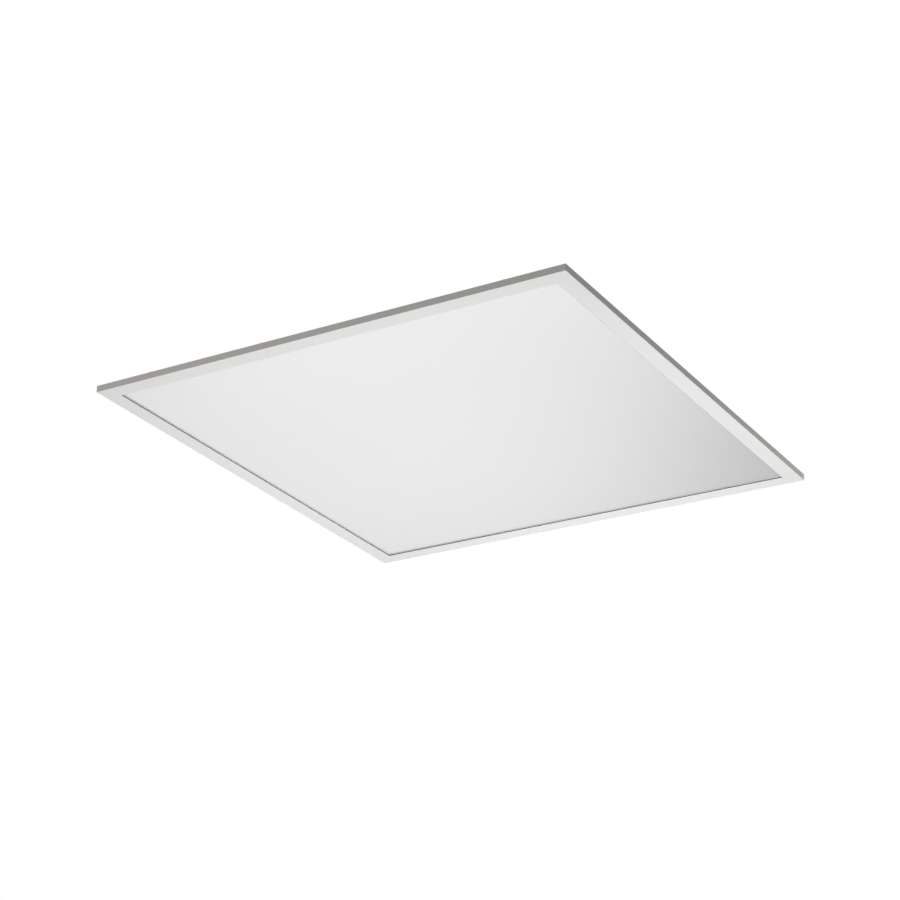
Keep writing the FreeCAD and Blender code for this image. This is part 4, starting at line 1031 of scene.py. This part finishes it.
class TROFFER_OT_add_lead_tie(bpy.types.Operator):
    """Nylon tie round the two supply leads, with its head and trimmed tail"""

    bl_idname = "troffer.add_lead_tie"
    bl_label = "Lead tie"

    def execute(self, context):
        sizes = context.scene.troffer_sizes
        thick = sizes.tie_thickness
        wide = sizes.tie_width
        y = 247.0 * MM
        left = Vector(section_middle("supply_lead_left", y))
        right = Vector(section_middle("supply_lead_right", y))
        middle = (left + right) / 2
        along = (right - left).normalized()
        lean = math.degrees(math.atan2(along.y, along.x))
        lead_radius = 0.75 * MM
        reach = lead_radius + 0.02 * MM
        foot = middle.y + reach + thick * 0.6

        def loop(radius):
            before = arc(left, radius, lean + 90, lean + 270)
            return before + arc(right, radius, lean - 90, lean + 90)

        def tie(bm):
            inner = loop(reach)
            outer = loop(reach + thick)
            rows = [
                [bm.verts.new((x, y + side * wide / 2, z)) for x, z in ring]
                for ring, side in ((inner, -1), (outer, -1), (outer, 1), (inner, 1))
            ]
            for row, following in zip(rows, rows[1:] + rows[:1]):
                for i in range(len(inner)):
                    after = (i + 1) % len(inner)
                    bm.faces.new((row[i], row[after], following[after], following[i]))
            for half_x, half_y, bottom, top, bevel in (
                (wide * 0.75, wide * 0.75, foot, foot + 2.0 * MM, 0.25 * MM),
                (thick / 2, wide / 2, foot + 1.6 * MM, foot + 3.6 * MM, 0.12 * MM),
            ):
                near = (middle.x - half_x, y - half_y, bottom)
                far = (middle.x + half_x, y + half_y, top)
                add_box(bm, near, far, bevel)

        add_piece("lead_tie", tie, "socket_white")
        return {"FINISHED"}


class TROFFER_OT_set_studio(bpy.types.Operator):
    """Camera at the photograph's viewing angle, pale floor, world and soft lamps"""

    bl_idname = "troffer.set_studio"
    bl_label = "Studio"

    def execute(self, context):
        studio = context.scene.troffer_studio
        self.add_camera(studio)
        self.add_floor(studio)
        self.add_card()
        self.light_world()
        self.add_lamps()
        context.scene.view_settings.view_transform = "Standard"
        return {"FINISHED"}

    def add_camera(self, studio):
        data = bpy.data.cameras.new("camera")
        data.lens = studio.lens
        data.sensor_width = 36.0
        camera = linked("camera", data)
        flat = math.cos(studio.elevation)
        across, away = math.sin(studio.azimuth) * flat, math.cos(studio.azimuth) * flat
        back = Vector((across, -away, math.sin(studio.elevation)))
        camera.location = Vector(studio.target) + back * studio.distance
        camera.rotation_mode = "QUATERNION"
        aim = (-back).to_track_quat("-Z", "Y")
        camera.rotation_quaternion = aim @ Quaternion((0.0, 0.0, 1.0), studio.roll)
        bpy.context.scene.camera = camera

    def add_floor(self, studio):
        """A pale disc that gets whiter with the distance, until it can't be told from the world."""
        paint = Finish("studio_floor")
        x, y, _ = paint.split(paint.place())
        reach = (x * x + y * y).power(0.5)
        pale = paint.node("ShaderNodeBsdfDiffuse", inputs={"Color": grey(0.92)})
        fade = reach.rise(1.0, 7.0) * 0.35 + 0.65
        surface = paint.shown(paint.mixed(fade, pale, paint.emission(1.0)))

        def disc(bm):
            bmesh.ops.create_circle(bm, cap_ends=True, radius=studio.floor_reach, segments=96)

        floor = mesh_object("studio_floor", disc, surface)
        floor.location = (0.0, 0.0, -studio.floor_drop)
        self.hide_from(floor, "diffuse", "glossy", "transmission", "shadow")

    def add_card(self):
        """A card seen only in reflections. Its dark spot shades the diffuser's rear right corner,
        and its bright lower half lights the front edge."""
        felt = Finish("studio_card")
        x, _, z = felt.split(felt.node("ShaderNodeNewGeometry", output="Position"))
        spot_x, spot_z, spot_radius = 0.13, -0.285, 0.31
        across = x - spot_x
        up = (z - spot_z) * 1.4
        reach = (across * across + up * up) / (spot_radius * spot_radius)
        cover = (0.0 - reach.power(0.65)).exponent()
        glow = z.fall(-0.72, -0.50) * z.rise(-1.15, -0.95) * x.rise(-1.4, -0.7)
        clear = felt.node("ShaderNodeBsdfTransparent")
        spot = felt.mixed(cover, clear, felt.emission(0.0))
        surface = felt.shown(felt.mixed(glow, spot, felt.emission(1.3)))

        def sheet(bm):
            bmesh.ops.create_grid(bm, x_segments=1, y_segments=1, size=0.5)

        card = mesh_object("studio_card", sheet, surface)
        card.scale = (3.2, 1.7, 1.0)
        card.rotation_euler = (math.pi / 2, 0.0, 0.0)
        card.location = (0.2, 0.79, -0.87)
        self.hide_from(card, "camera", "diffuse", "transmission", "shadow")

    def hide_from(self, item, *rays):
        """Hides a thing of the studio from rays of those kinds."""
        for ray in rays:
            setattr(item, "visible_" + ray, False)

    def light_world(self):
        """A white background, and light by height that differs for matt and glossy surfaces."""
        world = bpy.data.worlds.new("studio_world")
        world.use_nodes = True
        bpy.context.scene.world = world
        sky = Shader(world.node_tree)
        direction = sky.node("ShaderNodeTexCoord", output="Generated")
        height = sky.split(direction)[2] * 0.5 + 0.5
        dim = (0.020, 0.018, 0.016)
        soft = (
            (0.0, grey(0.57)), (0.17, grey(0.57)), (0.22, grey(0.31)), (0.38, dim), (0.62, dim),
            (0.85, (0.43, 0.425, 0.42)), (1.0, grey(0.52)),
        )
        shine = (
            (0.0, grey(1.0)), (0.25, grey(1.0)), (0.34, grey(0.86)), (0.46, grey(0.86)),
            (0.54, (0.38, 0.35, 0.33)), (0.75, (0.48, 0.46, 0.45)), (1.0, grey(0.92)),
        )
        lit, seen, plain = (
            sky.node("ShaderNodeBackground", inputs={"Color": colour, "Strength": 1.0})
            for colour in (sky.ramp(height, soft), sky.ramp(height, shine), grey(1.0))
        )
        path = sky.node("ShaderNodeLightPath").output.node
        rays = ("Camera", "Glossy", "Transmission")
        camera_ray, mirror_ray, glass_ray = (
            Socket(sky, path.outputs[f"Is {ray} Ray"]) for ray in rays
        )
        light = sky.mixed(mirror_ray, lit, seen)
        surface = sky.mixed(camera_ray.at_least(glass_ray), light, plain)
        sky.node("ShaderNodeOutputWorld", inputs={"Surface": surface})

    def add_lamps(self):
        white = grey(1.0)
        warm = (1.0, 0.89, 0.83)
        for name, place, aim, size, power, colour in (
            ("lamp_below", (0.06, 0.125, -0.9), (0.06, 0.125, 0.0), 0.6, 7.1, white),
            ("lamp_above", (-1.3, 1.5, 1.9), (0.0, 0.0, 0.0), 1.6, 56.0, white),
            ("lamp_right", (0.75, 0.9, -0.05), (0.3, 0.3, 0.0), 0.3, 3.0, warm),
            ("lamp_left", (-0.5, -1.6, -0.1), (-0.2, -0.3, 0.0), 0.6, 4.9, warm),
        ):
            data = bpy.data.lights.new(name, "AREA")
            data.size = size
            data.energy = power
            data.color = colour
            lamp = linked(name, data)
            lamp.location = place
            lamp.rotation_mode = "QUATERNION"
            lamp.rotation_quaternion = (Vector(aim) - Vector(place)).to_track_quat("-Z", "Y")
            self.hide_from(lamp, "camera", "glossy")


class TROFFER_PT_sidebar(bpy.types.Panel):
    """Lists the light's settings and steps"""

    bl_idname = "TROFFER_PT_sidebar"
    bl_label = "Troffer light"
    bl_space_type = "VIEW_3D"
    bl_region_type = "UI"
    bl_category = "Troffer"

    def draw(self, context):
        layout = self.layout
        for step in STEPS:
            layout.operator(step.bl_idname)
        scene = context.scene
        for group in (scene.troffer_colours, scene.troffer_sizes, scene.troffer_studio):
            column = layout.column()
            for name in group.__annotations__:
                column.prop(group, name)


STEPS = (
    TROFFER_OT_dress_frame,
    TROFFER_OT_dress_layers,
    TROFFER_OT_dress_lighting,
    TROFFER_OT_dress_back,
    TROFFER_OT_dress_box,
    TROFFER_OT_dress_driver,
    TROFFER_OT_dress_wiring,
    TROFFER_OT_print_block_marks,
    TROFFER_OT_print_latch_marks,
    TROFFER_OT_add_cover_detail,
    TROFFER_OT_add_lead_tie,
    TROFFER_OT_set_studio,
)
GROUPS = (TrofferColours, TrofferSizes, TrofferStudio)


def register():
    for item in (*GROUPS, *STEPS, TROFFER_PT_sidebar):
        bpy.utils.register_class(item)
    bpy.types.Scene.troffer_colours = PointerProperty(type=TrofferColours)
    bpy.types.Scene.troffer_sizes = PointerProperty(type=TrofferSizes)
    bpy.types.Scene.troffer_studio = PointerProperty(type=TrofferStudio)


def unregister():
    del bpy.types.Scene.troffer_studio
    del bpy.types.Scene.troffer_sizes
    del bpy.types.Scene.troffer_colours
    for item in reversed((*GROUPS, *STEPS, TROFFER_PT_sidebar)):
        bpy.utils.unregister_class(item)


def main():
    register()
    for step in STEPS:
        group, name = step.bl_idname.split(".")
        getattr(getattr(bpy.ops, group), name)()


if __name__ == "__main__":
    main()
